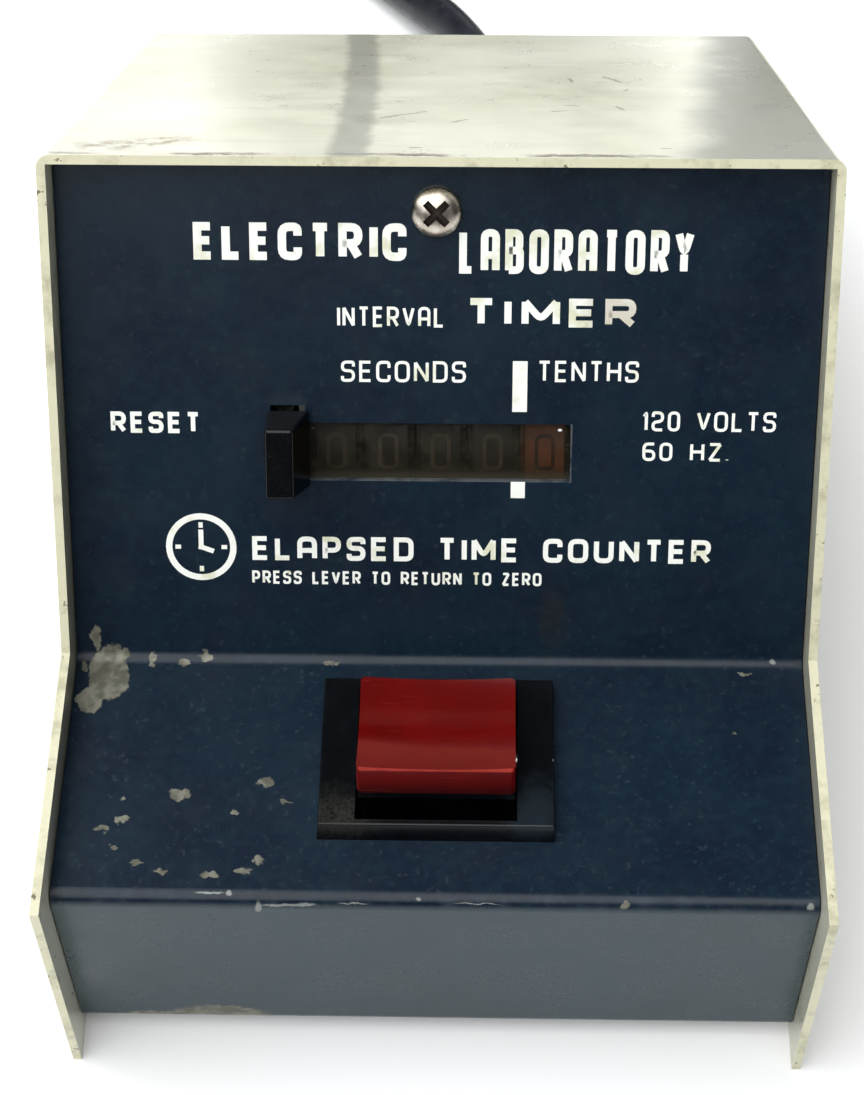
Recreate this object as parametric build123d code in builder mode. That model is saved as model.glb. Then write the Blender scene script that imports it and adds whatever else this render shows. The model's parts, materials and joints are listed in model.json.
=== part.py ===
from build123d import *
import math
import os

# Mains laboratory timer: sloping front panel, number-wheel counter, reset lever and rocker switch.
# Millimetres, +Z up. The origin is under the middle of the case, on the surface that it stands on,
# and the front faces -Y.

os.makedirs("parts", exist_ok=True)

# ---------------------------------------------------------------- driving dimensions: case
case_width = 108.0
cover_sheet = 1.27
chassis_sheet = 1.0
nose_height = 46.3
ledge_depth = 42.0
panel_length = 71.4
panel_lean = 35.0
top_length = 120.7
front_lip = 5.1
rear_screw_x = 38.0
rear_screw_z = 28.0
front_screw_x, front_screw_up = -0.5, 65.8
screw_hole_radius = 1.9
bottom_gap = 3.7
slip_gap = 0.2
cover_bend = 1.8
chassis_bend = 2.0

# ---------------------------------------------------------------- driving dimensions: counter
wheel_count = 5
wheel_pitch = 7.4
wheel_radius = 12.0
rim_width = 5.5
last_wheel_x = 14.9
shaft_radius = 1.5
running_gap = 0.05
wheel_up = 30.6
wheel_depth = 15.4
ring_teeth = 20
carry_teeth = 8
carry_module = 1.04
carry_tilt = 36.0
drive_teeth = 60
motor_teeth = 12
drive_module = 0.4
frame_sheet = 1.0
left_frame_x = -19.9
right_frame_x = 21.0
window_bottom, window_top = 27.5, 35.8
window_left, window_right = -18.8, 18.4
slot_left, slot_bottom, slot_top = -23.7, 27.5, 38.3

# ---------------------------------------------------------------- driving dimensions: reset lever
reset_up, reset_depth = 24.0, 38.0
lever_left, lever_right = -23.3, -20.5

# ---------------------------------------------------------------- driving dimensions: switch
switch_middle = 27.7
bezel_length, bezel_width, bezel_height = 25.6, 33.0, 2.5
opening_length, opening_width = 21.8, 22.5
rocker_width = 21.9
rocker_tilt = 14.0
pin_height = 0.5
pin_radius = 1.0

# ---------------------------------------------------------------- driving dimensions: cord
cord_diameter = 7.6
cord_exit_x, cord_exit_z = 9.7, 12.0
coil_centre = (-2.6, 205.3)
inner_turn_radius, outer_turn_radius = 32.4, 51.9
coil_layers = 2
coil_turns = 5.42
gland_radius = 5.2

# ---------------------------------------------------------------- worked out from those
lean = math.radians(panel_lean)
up_y, up_z = math.sin(lean), math.cos(lean)
top_front_y = ledge_depth + panel_length * up_y
top_front_z = nose_height + panel_length * up_z
case_depth = top_front_y + top_length * up_z
rear_height = top_front_z - top_length * up_y
front_y = -case_depth / 2
inner_width = case_width - 2 * cover_sheet - 2 * slip_gap
cord_radius = cord_diameter / 2


def from_front(distance, height):
    """A (y, z) point, its distance measured back from the front edges of the side plates."""
    return (front_y + distance, height)


def shifted(first, second, amount):
    """The line from one point to another, moved sideways to its right by amount."""
    run, rise = second[0] - first[0], second[1] - first[1]
    size = math.hypot(run, rise)
    side = (rise / size * amount, -run / size * amount)
    return (first[0] + side[0], first[1] + side[1]), (second[0] + side[0], second[1] + side[1])


def crossing(line_a, line_b):
    """The point where two lines, each given by two points, cross."""
    (ax, ay), (bx, by) = line_a
    (cx, cy), (dx, dy) = line_b
    rx, ry, sx, sy = bx - ax, by - ay, dx - cx, dy - cy
    share = ((cx - ax) * sy - (cy - ay) * sx) / (rx * sy - ry * sx)
    return (ax + rx * share, ay + ry * share)


# the side profile, from the foot of the nose over the top to the foot of the back
nose_foot = from_front(0, 0)
nose_top = from_front(0, nose_height)
ledge_back = from_front(ledge_depth, nose_height)
top_front = from_front(top_front_y, top_front_z)
top_back = from_front(case_depth, rear_height)
back_foot = from_front(case_depth, 0)

# the blue sheet's face, one lip behind the front edges of the cover
nose_line = shifted(nose_foot, nose_top, front_lip)
ledge_line = shifted(nose_top, ledge_back, front_lip)
panel_line = shifted(ledge_back, top_front, front_lip)
under_cover_line = shifted(top_front, top_back, cover_sheet + slip_gap)
sheet_nose = crossing(nose_line, ledge_line)
sheet_bend = crossing(ledge_line, panel_line)
sheet_top = crossing(panel_line, under_cover_line)
ledge_z = sheet_nose[1]
rear_wall_y = front_y + case_depth - front_lip
rear_wall_top = under_cover_line[0][1] - (rear_wall_y - under_cover_line[0][0]) * math.tan(lean) - 1.0


def panel_point(up, depth):
    """(y, z) of a point so far up the panel from the ledge, and so deep behind its face."""
    return (
        sheet_bend[0] + up * up_y + depth * up_z,
        sheet_bend[1] + up * up_z - depth * up_y,
    )


def panel_plane(depth, up=0.0, x=0.0):
    """A plane parallel to the panel: X across, Y up the panel, Z out towards the front."""
    y, z = panel_point(up, depth)
    return Plane(origin=(x, y, z), x_dir=(1, 0, 0), z_dir=(0, -up_z, up_y))


def section_plane(x, up=0.0, depth=0.0):
    """A plane across the case: X up the panel, Y out towards the front, Z to the right."""
    y, z = panel_point(up, depth)
    return Plane(origin=(x, y, z), x_dir=(0, up_y, up_z), z_dir=(1, 0, 0))


def write(part, name):
    """Label a finished piece and write it to its own file."""
    part.label = name
    export_step(part, f"parts/{name}.step")


def toothed_points(teeth, module, addendum, dedendum, tip_share, root_share):
    """The outline of a spur wheel with straight-sided teeth, as a closed list of points."""
    pitch_radius = module * teeth / 2
    tip, root = pitch_radius + addendum * module, pitch_radius - dedendum * module
    step = 2 * math.pi / teeth
    points = []
    for tooth in range(teeth):
        middle = tooth * step
        for radius, share in (
            (root, -root_share),
            (tip, -tip_share),
            (tip, tip_share),
            (root, root_share),
        ):
            angle = middle + share * step
            points.append((radius * math.cos(angle), radius * math.sin(angle)))
    return points


def carry_outline(teeth):
    """Outline of a wheel of the carry train."""
    return toothed_points(teeth, carry_module, 0.62, 0.95, 0.10, 0.22)


def drive_outline(teeth):
    """Outline of a wheel of the motor drive."""
    return toothed_points(teeth, drive_module, 0.75, 1.15, 0.10, 0.24)


# ================================================================ case
with BuildPart() as cover:
    with BuildSketch(Plane.YZ.offset(-case_width / 2)):
        with BuildLine():
            Polyline(nose_foot, nose_top, ledge_back, top_front, top_back, back_foot, close=True)
        make_face()
    extrude(amount=case_width)
    long_edges = cover.edges().filter_by(lambda e: abs(e.length - top_length) < 0.1)
    fillet(long_edges, cover_bend)
    under_top = shifted(top_front, top_back, cover_sheet)
    beyond = 60.0
    slope_y, slope_z = up_z * beyond, up_y * beyond
    with BuildSketch(Plane.YZ.offset(-case_width / 2 + cover_sheet)):
        with BuildLine():
            Polyline(
                (under_top[0][0] - slope_y, under_top[0][1] + slope_z),
                (under_top[1][0] + slope_y, under_top[1][1] - slope_z),
                (under_top[1][0] + slope_y, -beyond),
                (under_top[0][0] - slope_y - beyond, -beyond),
                (under_top[0][0] - slope_y - beyond, under_top[0][1] + slope_z),
                close=True,
            )
        make_face()
    extrude(amount=case_width - 2 * cover_sheet, mode=Mode.SUBTRACT)
write(cover.part, "cover")

with BuildPart() as chassis:
    with BuildSketch(Plane.YZ.offset(-inner_width / 2)):
        with BuildLine():
            face = FilletPolyline(
                sheet_top,
                sheet_bend,
                sheet_nose,
                (sheet_nose[0], bottom_gap),
                (rear_wall_y, bottom_gap),
                (rear_wall_y, rear_wall_top),
                radius=chassis_bend,
            )
            offset(face, amount=chassis_sheet, side=Side.RIGHT)
        make_face()
    extrude(amount=inner_width)
    with BuildSketch(panel_plane(-1)):
        with Locations(((window_left + window_right) / 2, (window_bottom + window_top) / 2)):
            RectangleRounded(window_right - window_left, window_top - window_bottom, 0.6)
        with Locations(((slot_left + window_left) / 2, (slot_bottom + slot_top) / 2)):
            Rectangle(window_left - slot_left, slot_top - slot_bottom)
        with Locations((front_screw_x, front_screw_up)):
            Circle(screw_hole_radius)
    extrude(amount=-4, mode=Mode.SUBTRACT)
    with BuildSketch(Plane.XY.offset(ledge_z + 1)):
        with Locations((0.1, front_y + switch_middle)):
            Rectangle(opening_width + 3.4, opening_length + 2.1)
    extrude(amount=-4, mode=Mode.SUBTRACT)
    with BuildSketch(Plane.XZ.offset(-rear_wall_y - 1)):
        with Locations((cord_exit_x, cord_exit_z)):
            Circle(gland_radius)
        with Locations((-rear_screw_x, rear_screw_z), (rear_screw_x, rear_screw_z)):
            Circle(screw_hole_radius)
    extrude(amount=4, mode=Mode.SUBTRACT)
write(chassis.part, "chassis")

# three angle tabs, spot-welded under the cover, take its screws
tab_sheet, tab_width, tab_reach = 1.2, 14.0, 12.0
thread_radius = 1.6
panel_top_up = math.hypot(sheet_top[0] - sheet_bend[0], sheet_top[1] - sheet_bend[1])
under_cover_up = panel_top_up + slip_gap
tab_face = chassis_sheet + 0.05
with BuildPart() as front_cover_tab:
    with BuildSketch(section_plane(front_screw_x - tab_width / 2)):
        with BuildLine():
            Polyline(
                (under_cover_up - tab_reach, -tab_face),
                (under_cover_up, -tab_face),
                (under_cover_up, -tab_face - tab_reach),
                (under_cover_up - tab_sheet, -tab_face - tab_reach),
                (under_cover_up - tab_sheet, -tab_face - tab_sheet),
                (under_cover_up - tab_reach, -tab_face - tab_sheet),
                close=True,
            )
        make_face()
    extrude(amount=tab_width)
    with BuildSketch(panel_plane(0, front_screw_up, front_screw_x)):
        Circle(thread_radius)
    extrude(amount=-tab_reach / 2, mode=Mode.SUBTRACT)
write(front_cover_tab.part, "front_cover_tab")

rear_tab_y = rear_wall_y - chassis_sheet - 0.05
drop = math.tan(lean)
under_cover_rear = rear_wall_top + 1.0 + (rear_wall_y - rear_tab_y) * drop + slip_gap / up_z
with BuildPart() as rear_cover_tabs:
    for x in (-rear_screw_x, rear_screw_x):
        with BuildSketch(Plane.YZ.offset(x - tab_width / 2)):
            with BuildLine():
                Polyline(
                    (rear_tab_y, rear_screw_z - 5),
                    (rear_tab_y, under_cover_rear),
                    (rear_tab_y - tab_reach, under_cover_rear + tab_reach * drop),
                    (rear_tab_y - tab_reach, under_cover_rear + tab_reach * drop - tab_sheet / up_z),
                    (rear_tab_y - tab_sheet, under_cover_rear + tab_sheet * (drop - 1 / up_z)),
                    (rear_tab_y - tab_sheet, rear_screw_z - 5),
                    close=True,
                )
            make_face()
        extrude(amount=tab_width)
    with BuildSketch(Plane.XZ.offset(-rear_wall_y)):
        with Locations((-rear_screw_x, rear_screw_z), (rear_screw_x, rear_screw_z)):
            Circle(thread_radius)
    extrude(amount=tab_reach / 2, mode=Mode.SUBTRACT)
write(rear_cover_tabs.part, "rear_cover_tabs")


def pan_screw(seat, reach, head_radius=3.45, head_height=2.3):
    """A cross-recessed pan head screw on a plane whose Z points out of the seat."""
    rim = head_height * 0.3
    arm_length, arm_width = head_radius * 1.25, head_radius * 0.33
    with BuildPart() as screw:
        with BuildSketch(Plane.XZ):
            with BuildLine():
                Polyline((0, head_height), (0, 0), (head_radius, 0), (head_radius, rim))
                EllipticalCenterArc((0, rim), head_radius, head_height - rim, start_angle=0, arc_size=90)
            make_face()
        revolve(axis=Axis.Z)
        with BuildSketch(Plane.XY):
            Circle(thread_radius)
        extrude(amount=-reach)
        with BuildSketch(Plane.XY.offset(head_height)):
            Rectangle(arm_length, arm_width, rotation=45)
            Rectangle(arm_length, arm_width, rotation=-45)
        extrude(amount=-head_height * 0.6, taper=10, mode=Mode.SUBTRACT)
    return seat.location * screw.part


front_cover_screw = pan_screw(panel_plane(0, front_screw_up, front_screw_x), 6.0)
write(front_cover_screw, "front_cover_screw")

rear_cover_screws = Compound(
    children=[
        pan_screw(Plane(origin=(x, rear_wall_y, rear_screw_z), x_dir=(-1, 0, 0), z_dir=(0, 1, 0)), 6.0)
        for x in (-rear_screw_x, rear_screw_x)
    ]
)
write(rear_cover_screws, "rear_cover_screws")


# ================================================================ counter frame
def frame_side(x, flange_side, name, motor_hole_radius):
    """A side plate of the counter, with two tabs turned outwards to stand on the panel's studs."""
    flange_x = x if flange_side < 0 else x + frame_sheet
    with BuildPart() as side:
        with BuildSketch(section_plane(x)):
            with Locations(((frame_low + frame_high) / 2, -(frame_front + frame_back) / 2)):
                Rectangle(frame_high - frame_low, frame_back - frame_front)
            with Locations((tab_low_up, -frame_front), (tab_high_up, -frame_front)):
                Rectangle(tab_height, 2 * (frame_front - chassis_sheet))
            with Locations((wheel_up, -wheel_depth)):
                Circle(shaft_radius, mode=Mode.SUBTRACT)
            with Locations((pinion_up, -pinion_depth)):
                Circle(pinion_shaft_radius, mode=Mode.SUBTRACT)
            with Locations((reset_up, -reset_depth)):
                Circle(reset_shaft_radius + running_gap, mode=Mode.SUBTRACT)
            with Locations(*[(up, -depth) for up, depth in post_places]):
                Circle(thread_radius, mode=Mode.SUBTRACT)
            if motor_hole_radius:
                with Locations((wheel_up, -motor_depth)):
                    Circle(motor_hole_radius, mode=Mode.SUBTRACT)
                with Locations(*[(up, -depth) for up, depth in motor_ears]):
                    Circle(thread_radius, mode=Mode.SUBTRACT)
        extrude(amount=frame_sheet)
        with BuildSketch(panel_plane(chassis_sheet)):
            for up in (tab_low_up, tab_high_up):
                with Locations((flange_x + flange_side * tab_length / 2, up)):
                    Rectangle(tab_length, tab_height)
            for up in (tab_low_up, tab_high_up):
                with Locations((flange_x + flange_side * stud_offset, up)):
                    Circle(stud_radius, mode=Mode.SUBTRACT)
        extrude(amount=-frame_sheet)
    write(side.part, name)


frame_low, frame_high, frame_front, frame_back = 6.0, 54.0, 3.0, 52.0
tab_low_up, tab_high_up, tab_height, tab_length = 12.0, 48.0, 11.0, 11.0
stud_offset, stud_radius = 6.5, 1.4
carry_distance = carry_module * (ring_teeth + carry_teeth) / 2
pinion_up = wheel_up - carry_distance * math.cos(math.radians(carry_tilt))
pinion_depth = wheel_depth + carry_distance * math.sin(math.radians(carry_tilt))
pinion_shaft_radius = 1.2
reset_shaft_radius = 2.0
motor_depth = wheel_depth + drive_module * (drive_teeth + motor_teeth) / 2
motor_ears = [(wheel_up + 13.4, motor_depth + 13.4), (wheel_up - 13.4, motor_depth - 13.4)]
post_places = [(11.0, 11.0), (49.0, 11.0), (50.0, 47.5)]
post_radius = 2.5
frame_inner = right_frame_x - left_frame_x - frame_sheet

frame_side(left_frame_x, -1, "counter_left_plate", 0)
frame_side(right_frame_x, 1, "counter_right_plate", 4.0)

with BuildPart() as counter_posts:
    for up, depth in post_places:
        with BuildSketch(section_plane(left_frame_x + frame_sheet, up, depth)):
            RegularPolygon(post_radius, 6)
            Circle(thread_radius, mode=Mode.SUBTRACT)
        extrude(amount=frame_inner)
write(counter_posts.part, "counter_posts")



def side_seat(x, outward, up, depth):
    """A screw's seat on a side plate, its Z pointing out of the counter."""
    y, z = panel_point(up, depth)
    return Plane(origin=(x, y, z), x_dir=(0, up_y, up_z), z_dir=(outward, 0, 0))


seats = [side_seat(right_frame_x + frame_sheet, 1, *place) for place in post_places]
seats += [side_seat(left_frame_x, -1, *place) for place in post_places]
post_screws = Compound(children=[pan_screw(seat, 6.0, 2.6, 1.7) for seat in seats])
write(post_screws, "post_screws")

stud_spots = [
    (left_frame_x - stud_offset, tab_low_up),
    (left_frame_x - stud_offset, tab_high_up),
    (right_frame_x + frame_sheet + stud_offset, tab_low_up),
    (right_frame_x + frame_sheet + stud_offset, tab_high_up),
]
with BuildPart() as panel_studs:
    with BuildSketch(panel_plane(chassis_sheet)):
        with Locations(*stud_spots):
            Circle(stud_radius)
    extrude(amount=-7.0)
write(panel_studs.part, "panel_studs")

with BuildPart() as stud_nuts:
    with BuildSketch(panel_plane(chassis_sheet + frame_sheet)):
        with Locations(*stud_spots):
            RegularPolygon(3.1, 6)
            Circle(stud_radius, mode=Mode.SUBTRACT)
    extrude(amount=-2.2)
write(stud_nuts.part, "stud_nuts")

lens_left, lens_right, lens_low, lens_high, lens_sheet = -18.6, 20.2, 24.5, 38.8, 1.1
with BuildPart() as window_lens:
    with BuildSketch(panel_plane(chassis_sheet)):
        with Locations(((lens_left + lens_right) / 2, (lens_low + lens_high) / 2)):
            RectangleRounded(lens_right - lens_left, lens_high - lens_low, 1.0)
    extrude(amount=-lens_sheet)
write(window_lens.part, "window_lens")


# ================================================================ number wheels and their drive
def shaft(name, up, depth, radius, left, right):
    """A plain round shaft between the side plates."""
    with BuildPart() as bar:
        with BuildSketch(section_plane(left, up, depth)):
            Circle(radius)
        extrude(amount=right - left)
    write(bar.part, name)


shaft_left, shaft_right = left_frame_x - 0.2, right_frame_x + frame_sheet
shaft("wheel_shaft", wheel_up, wheel_depth, shaft_radius, shaft_left, shaft_right)
shaft("pinion_shaft", pinion_up, pinion_depth, pinion_shaft_radius, shaft_left, shaft_right)

hub_radius, hub_half = 3.0, 3.65
ring_gear_width, carry_disc_width, carry_disc_radius = 0.8, 0.7, 8.6
wheel_names = [
    "tenths_wheel",
    "seconds_wheel",
    "ten_seconds_wheel",
    "hundred_seconds_wheel",
    "thousand_seconds_wheel",
]
drive_gear_left, drive_gear_width = 18.95, 1.35
for index, wheel_name in enumerate(wheel_names):
    middle = last_wheel_x - index * wheel_pitch
    first, last = index == 0, index == wheel_count - 1
    rim_left = middle - rim_width / 2
    hub_right = drive_gear_left + drive_gear_width if first else middle + hub_half
    with BuildPart() as wheel:
        with BuildSketch(section_plane(rim_left, wheel_up, wheel_depth)):
            Circle(wheel_radius)
        extrude(amount=rim_width)
        with BuildSketch(section_plane(rim_left, wheel_up, wheel_depth)):
            Circle(wheel_radius - 1.4)
            Circle(hub_radius, mode=Mode.SUBTRACT)
        extrude(amount=rim_width - 1.6, mode=Mode.SUBTRACT)
        with BuildSketch(section_plane(middle - hub_half, wheel_up, wheel_depth)):
            Circle(hub_radius)
        extrude(amount=hub_right - middle + hub_half)
        if not first:
            with BuildSketch(section_plane(rim_left + rim_width, wheel_up, wheel_depth)):
                Polygon(*carry_outline(ring_teeth), align=None)
            extrude(amount=ring_gear_width)
        if not last:
            carry_left = rim_left - carry_disc_width
            with BuildSketch(section_plane(carry_left, wheel_up, wheel_depth)):
                Circle(carry_disc_radius)
                with PolarLocations(carry_disc_radius, 2, start_angle=-14, angular_range=28):
                    Rectangle(1.6, 1.2)
            extrude(amount=carry_disc_width + rim_width - 1.6)
        with BuildSketch(section_plane(middle - hub_half, wheel_up, wheel_depth)):
            Circle(shaft_radius + running_gap)
        extrude(amount=hub_right - middle + hub_half, mode=Mode.SUBTRACT)
    write(wheel.part, wheel_name)

pinion_width = 1.5
for index in range(wheel_count - 1):
    middle = last_wheel_x - (index + 0.5) * wheel_pitch
    with BuildPart() as pinion:
        with BuildSketch(section_plane(middle - pinion_width / 2, pinion_up, pinion_depth)):
            Polygon(*carry_outline(carry_teeth), align=None, rotation=carry_tilt - 180 / carry_teeth)
        extrude(amount=pinion_width)
        with BuildSketch(section_plane(middle - hub_half, pinion_up, pinion_depth)):
            Circle(2.1)
        extrude(amount=2 * hub_half)
        with BuildSketch(section_plane(middle - hub_half, pinion_up, pinion_depth)):
            Circle(pinion_shaft_radius + running_gap)
        extrude(amount=2 * hub_half, mode=Mode.SUBTRACT)
    write(pinion.part, f"carry_pinion_{index + 1}")

with BuildPart() as drive_gear:
    with BuildSketch(section_plane(drive_gear_left, wheel_up, wheel_depth)):
        Polygon(*drive_outline(drive_teeth), align=None)
        Circle(hub_radius, mode=Mode.SUBTRACT)
    extrude(amount=drive_gear_width)
write(drive_gear.part, "drive_gear")

# ================================================================ synchronous motor
output_radius = 1.0
gearbox_left, gearbox_length, gearbox_radius = right_frame_x + frame_sheet, 6.0, 15.0
can_length, can_radius = 18.0, 23.0
with BuildPart() as motor_pinion:
    with BuildSketch(section_plane(drive_gear_left, wheel_up, motor_depth)):
        Polygon(*drive_outline(motor_teeth), align=None, rotation=180 / motor_teeth)
        Circle(output_radius, mode=Mode.SUBTRACT)
    extrude(amount=drive_gear_width)
write(motor_pinion.part, "motor_pinion")
output_left, output_right = drive_gear_left - 0.3, gearbox_left + 2.0
shaft("motor_output_shaft", wheel_up, motor_depth, output_radius, output_left, output_right)

with BuildPart() as motor_gearbox:
    with BuildSketch(section_plane(gearbox_left, wheel_up, motor_depth)):
        Circle(gearbox_radius)
    extrude(amount=gearbox_length)
    with BuildSketch(section_plane(gearbox_left, wheel_up, motor_depth)):
        ear = 13.4
        with Locations((ear, -ear), (-ear, ear)):
            Circle(3.6)
        Rectangle(5.0, 2 * ear * math.sqrt(2), rotation=45)
        with Locations((ear, -ear), (-ear, ear)):
            Circle(thread_radius, mode=Mode.SUBTRACT)
    extrude(amount=1.2)
    with BuildSketch(section_plane(gearbox_left, wheel_up, motor_depth)):
        Circle(output_radius + running_gap)
    extrude(amount=3.0, mode=Mode.SUBTRACT)
write(motor_gearbox.part, "motor_gearbox")

with BuildPart() as motor_can:
    can_left = gearbox_left + gearbox_length
    with BuildSketch(section_plane(can_left, wheel_up, motor_depth)):
        Circle(can_radius)
    extrude(amount=can_length)
    fillet(motor_can.edges().filter_by(GeomType.CIRCLE), 1.5)
    with BuildSketch(section_plane(can_left + can_length / 2 - 0.6, wheel_up, motor_depth)):
        Circle(can_radius + 0.8)
    extrude(amount=1.2)
write(motor_can.part, "motor_can")

motor_screws = Compound(
    children=[
        pan_screw(side_seat(gearbox_left + 1.2, 1, up, depth), 1.5, 2.6, 1.7) for up, depth in motor_ears
    ]
)
write(motor_screws, "motor_screws")

# ================================================================ reset lever and comb
head_low, head_high, head_back, head_front = 26.9, 38.0, 1.4, 9.5
head_left, head_right, head_front_left, head_front_right = -24.1, -18.0, -23.8, -19.9
arm_low, arm_high = 33.2, 37.6
with BuildPart() as reset_lever:
    with BuildSketch(panel_plane(-head_back)):
        with Locations(((head_left + head_right) / 2, (head_low + head_high) / 2)):
            Rectangle(head_right - head_left, head_high - head_low)
    with BuildSketch(panel_plane(-head_front)):
        with Locations(((head_front_left + head_front_right) / 2, (head_low + head_high) / 2)):
            Rectangle(head_front_right - head_front_left, head_high - head_low - 1.0)
    loft()
    fillet(reset_lever.edges().filter_by(lambda e: e.length > 1), 0.5)
    with BuildSketch(section_plane(lever_left)):
        with BuildLine():
            Polyline(
                (arm_low, head_back + 1),
                (arm_high, head_back + 1),
                (arm_high, -chassis_sheet - 3),
                (reset_up + 3.4, -reset_depth + 2.6),
                (reset_up - 3.4, -reset_depth - 2.6),
                (reset_up - 3.4, -reset_depth + 2.6),
                (arm_low, -chassis_sheet - 3),
                close=True,
            )
        make_face()
        with Locations((reset_up, -reset_depth)):
            Circle(4.4)
            Circle(reset_shaft_radius, mode=Mode.SUBTRACT)
    extrude(amount=lever_right - lever_left)
write(reset_lever.part, "reset_lever")
shaft("reset_shaft", reset_up, reset_depth, reset_shaft_radius, lever_left, shaft_right - 0.1)

comb_left, comb_sheet, comb_bar = -17.6, 1.2, 8.6
comb_bar_up, comb_bar_depth = reset_up + comb_bar, reset_depth + 2.5
finger_tip_up, finger_tip_depth = 31.2, 29.8
with BuildPart() as reset_comb:
    for left in (comb_left, -comb_left - comb_sheet):
        with BuildSketch(section_plane(left)):
            with BuildLine():
                Polyline(
                    (reset_up, -reset_depth + 3.4),
                    (comb_bar_up + 1.4, -comb_bar_depth + 2.0),
                    (comb_bar_up + 1.4, -comb_bar_depth - 2.0),
                    (reset_up, -reset_depth - 3.4),
                    close=True,
                )
            make_face()
            with Locations((reset_up, -reset_depth)):
                Circle(3.6)
                Circle(reset_shaft_radius, mode=Mode.SUBTRACT)
        extrude(amount=comb_sheet)
    with BuildSketch(section_plane(comb_left + comb_sheet)):
        with Locations((comb_bar_up, -comb_bar_depth)):
            Rectangle(2.4, 4.0)
    extrude(amount=-2 * (comb_left + comb_sheet))
    for index in range(wheel_count):
        middle = last_wheel_x - index * wheel_pitch
        with BuildSketch(section_plane(middle - 1.2)):
            with BuildLine():
                Polyline(
                    (comb_bar_up - 1.0, -comb_bar_depth),
                    (comb_bar_up + 1.0, -comb_bar_depth),
                    (finger_tip_up + 0.8, -finger_tip_depth),
                    (finger_tip_up - 0.8, -finger_tip_depth),
                    close=True,
                )
            make_face()
        extrude(amount=2.4)
write(reset_comb.part, "reset_comb")

spring_wire, spring_radius, spring_turns = 0.25, 2.7, 4
with BuildPart() as reset_spring:
    spring_left = -comb_left + 0.4
    with BuildLine() as spring_line:
        y, z = panel_point(reset_up, reset_depth)
        Helix(
            pitch=0.62,
            height=0.62 * spring_turns,
            radius=spring_radius,
            center=(spring_left, y, z),
            direction=(1, 0, 0),
        )
    with BuildSketch(spring_line.line ^ 0):
        Circle(spring_wire)
    sweep()
write(reset_spring.part, "reset_spring")

# ================================================================ rocker switch
switch_x = 0.1
switch_y = front_y + switch_middle
wall_x, wall_y, wall_drop = 1.5, 0.9, 12.0
body_drop = 24.0
pin_z = ledge_z + pin_height


def switch_plane(height):
    """A level plane over the middle of the switch, so high above the ledge."""
    return Plane(origin=(switch_x, switch_y, ledge_z + height), x_dir=(1, 0, 0), z_dir=(0, 0, 1))


with BuildPart() as switch_bezel:
    with BuildSketch(switch_plane(0)):
        Rectangle(bezel_width, bezel_length)
    with BuildSketch(switch_plane(bezel_height)):
        with Locations((0, 0.3)):
            Rectangle(bezel_width - 0.4, bezel_length - 1.6)
    loft()
    fillet(switch_bezel.faces().sort_by(Axis.Z)[-1].edges(), 0.3)
    with BuildSketch(switch_plane(0)):
        Rectangle(opening_width + 2 * wall_x, opening_length + 2 * wall_y)
    extrude(amount=-wall_drop)
    with BuildSketch(switch_plane(bezel_height)):
        Rectangle(opening_width, opening_length)
    extrude(amount=-wall_drop - bezel_height, mode=Mode.SUBTRACT)
    with BuildSketch(Plane.YZ.offset(switch_x - bezel_width / 2)):
        with Locations((switch_y, pin_z)):
            Circle(pin_radius)
    extrude(amount=bezel_width, mode=Mode.SUBTRACT)
write(switch_bezel.part, "switch_bezel")

pin_half = opening_width / 2 + wall_x - 0.1
with BuildPart() as rocker_pin:
    with BuildSketch(Plane.YZ.offset(switch_x - pin_half)):
        with Locations((switch_y, pin_z)):
            Circle(pin_radius)
    extrude(amount=2 * pin_half)
write(rocker_pin.part, "rocker_pin")

rocker_sin, rocker_cos = math.sin(math.radians(-rocker_tilt)), math.cos(math.radians(-rocker_tilt))


def rocker_plane(x):
    """The rocker's own section: X along it to the back, Y out of its top, the pin at the origin."""
    return Plane(origin=(x, switch_y, pin_z), x_dir=(0, rocker_cos, rocker_sin), z_dir=(1, 0, 0))


cap_foot_half, cap_top_half, cap_foot, cap_top, cap_valley = 8.8, 9.0, 2.2, 7.6, 5.7
dish_depth = 0.5
with BuildPart() as switch_rocker:
    with BuildSketch(rocker_plane(switch_x - rocker_width / 2)):
        with BuildLine():
            Polyline(
                (-cap_top_half, cap_top),
                (-cap_foot_half, cap_foot),
                (cap_foot_half, cap_foot),
                (cap_top_half, cap_top),
            )
            ThreePointArc((cap_top_half, cap_top), (0, cap_valley), (-cap_top_half, cap_top))
        make_face()
    extrude(amount=rocker_width)
    rise = cap_top - cap_valley
    valley_radius = (cap_top_half**2 + rise**2) / (2 * rise)
    valley_plane = Plane(
        origin=rocker_plane(switch_x).from_local_coords((0, cap_valley + valley_radius, 0)),
        x_dir=(1, 0, 0),
        z_dir=(0, rocker_cos, rocker_sin),
    )
    reach = rocker_width / 2 + 1
    with BuildSketch(valley_plane):
        with BuildLine():
            Line((-reach, 0), (reach, 0))
            Line((reach, 0), (reach, -valley_radius))
            ThreePointArc(
                (reach, -valley_radius),
                (0, -valley_radius - dish_depth),
                (-reach, -valley_radius),
            )
            Line((-reach, -valley_radius), (-reach, 0))
        make_face()
    revolve(axis=Axis(valley_plane.origin, (1, 0, 0)), mode=Mode.SUBTRACT)
    straight_edges = switch_rocker.edges().filter_by(GeomType.LINE)
    fillet(straight_edges.filter_by(Axis.X, reverse=True), 0.7)
write(switch_rocker.part, "switch_rocker")

cradle_half = rocker_width / 2 - 0.1
with BuildPart() as rocker_cradle:
    with BuildSketch(rocker_plane(switch_x - cradle_half)):
        with BuildLine():
            Polyline(
                (-8.2, cap_foot),
                (8.2, cap_foot),
                (8.2, 0.6),
                (3.2, -2.6),
                (-3.2, -2.6),
                (-8.2, 0.6),
                close=True,
            )
        make_face()
        Circle(pin_radius + running_gap, mode=Mode.SUBTRACT)
    extrude(amount=2 * cradle_half)
write(rocker_cradle.part, "rocker_cradle")

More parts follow.
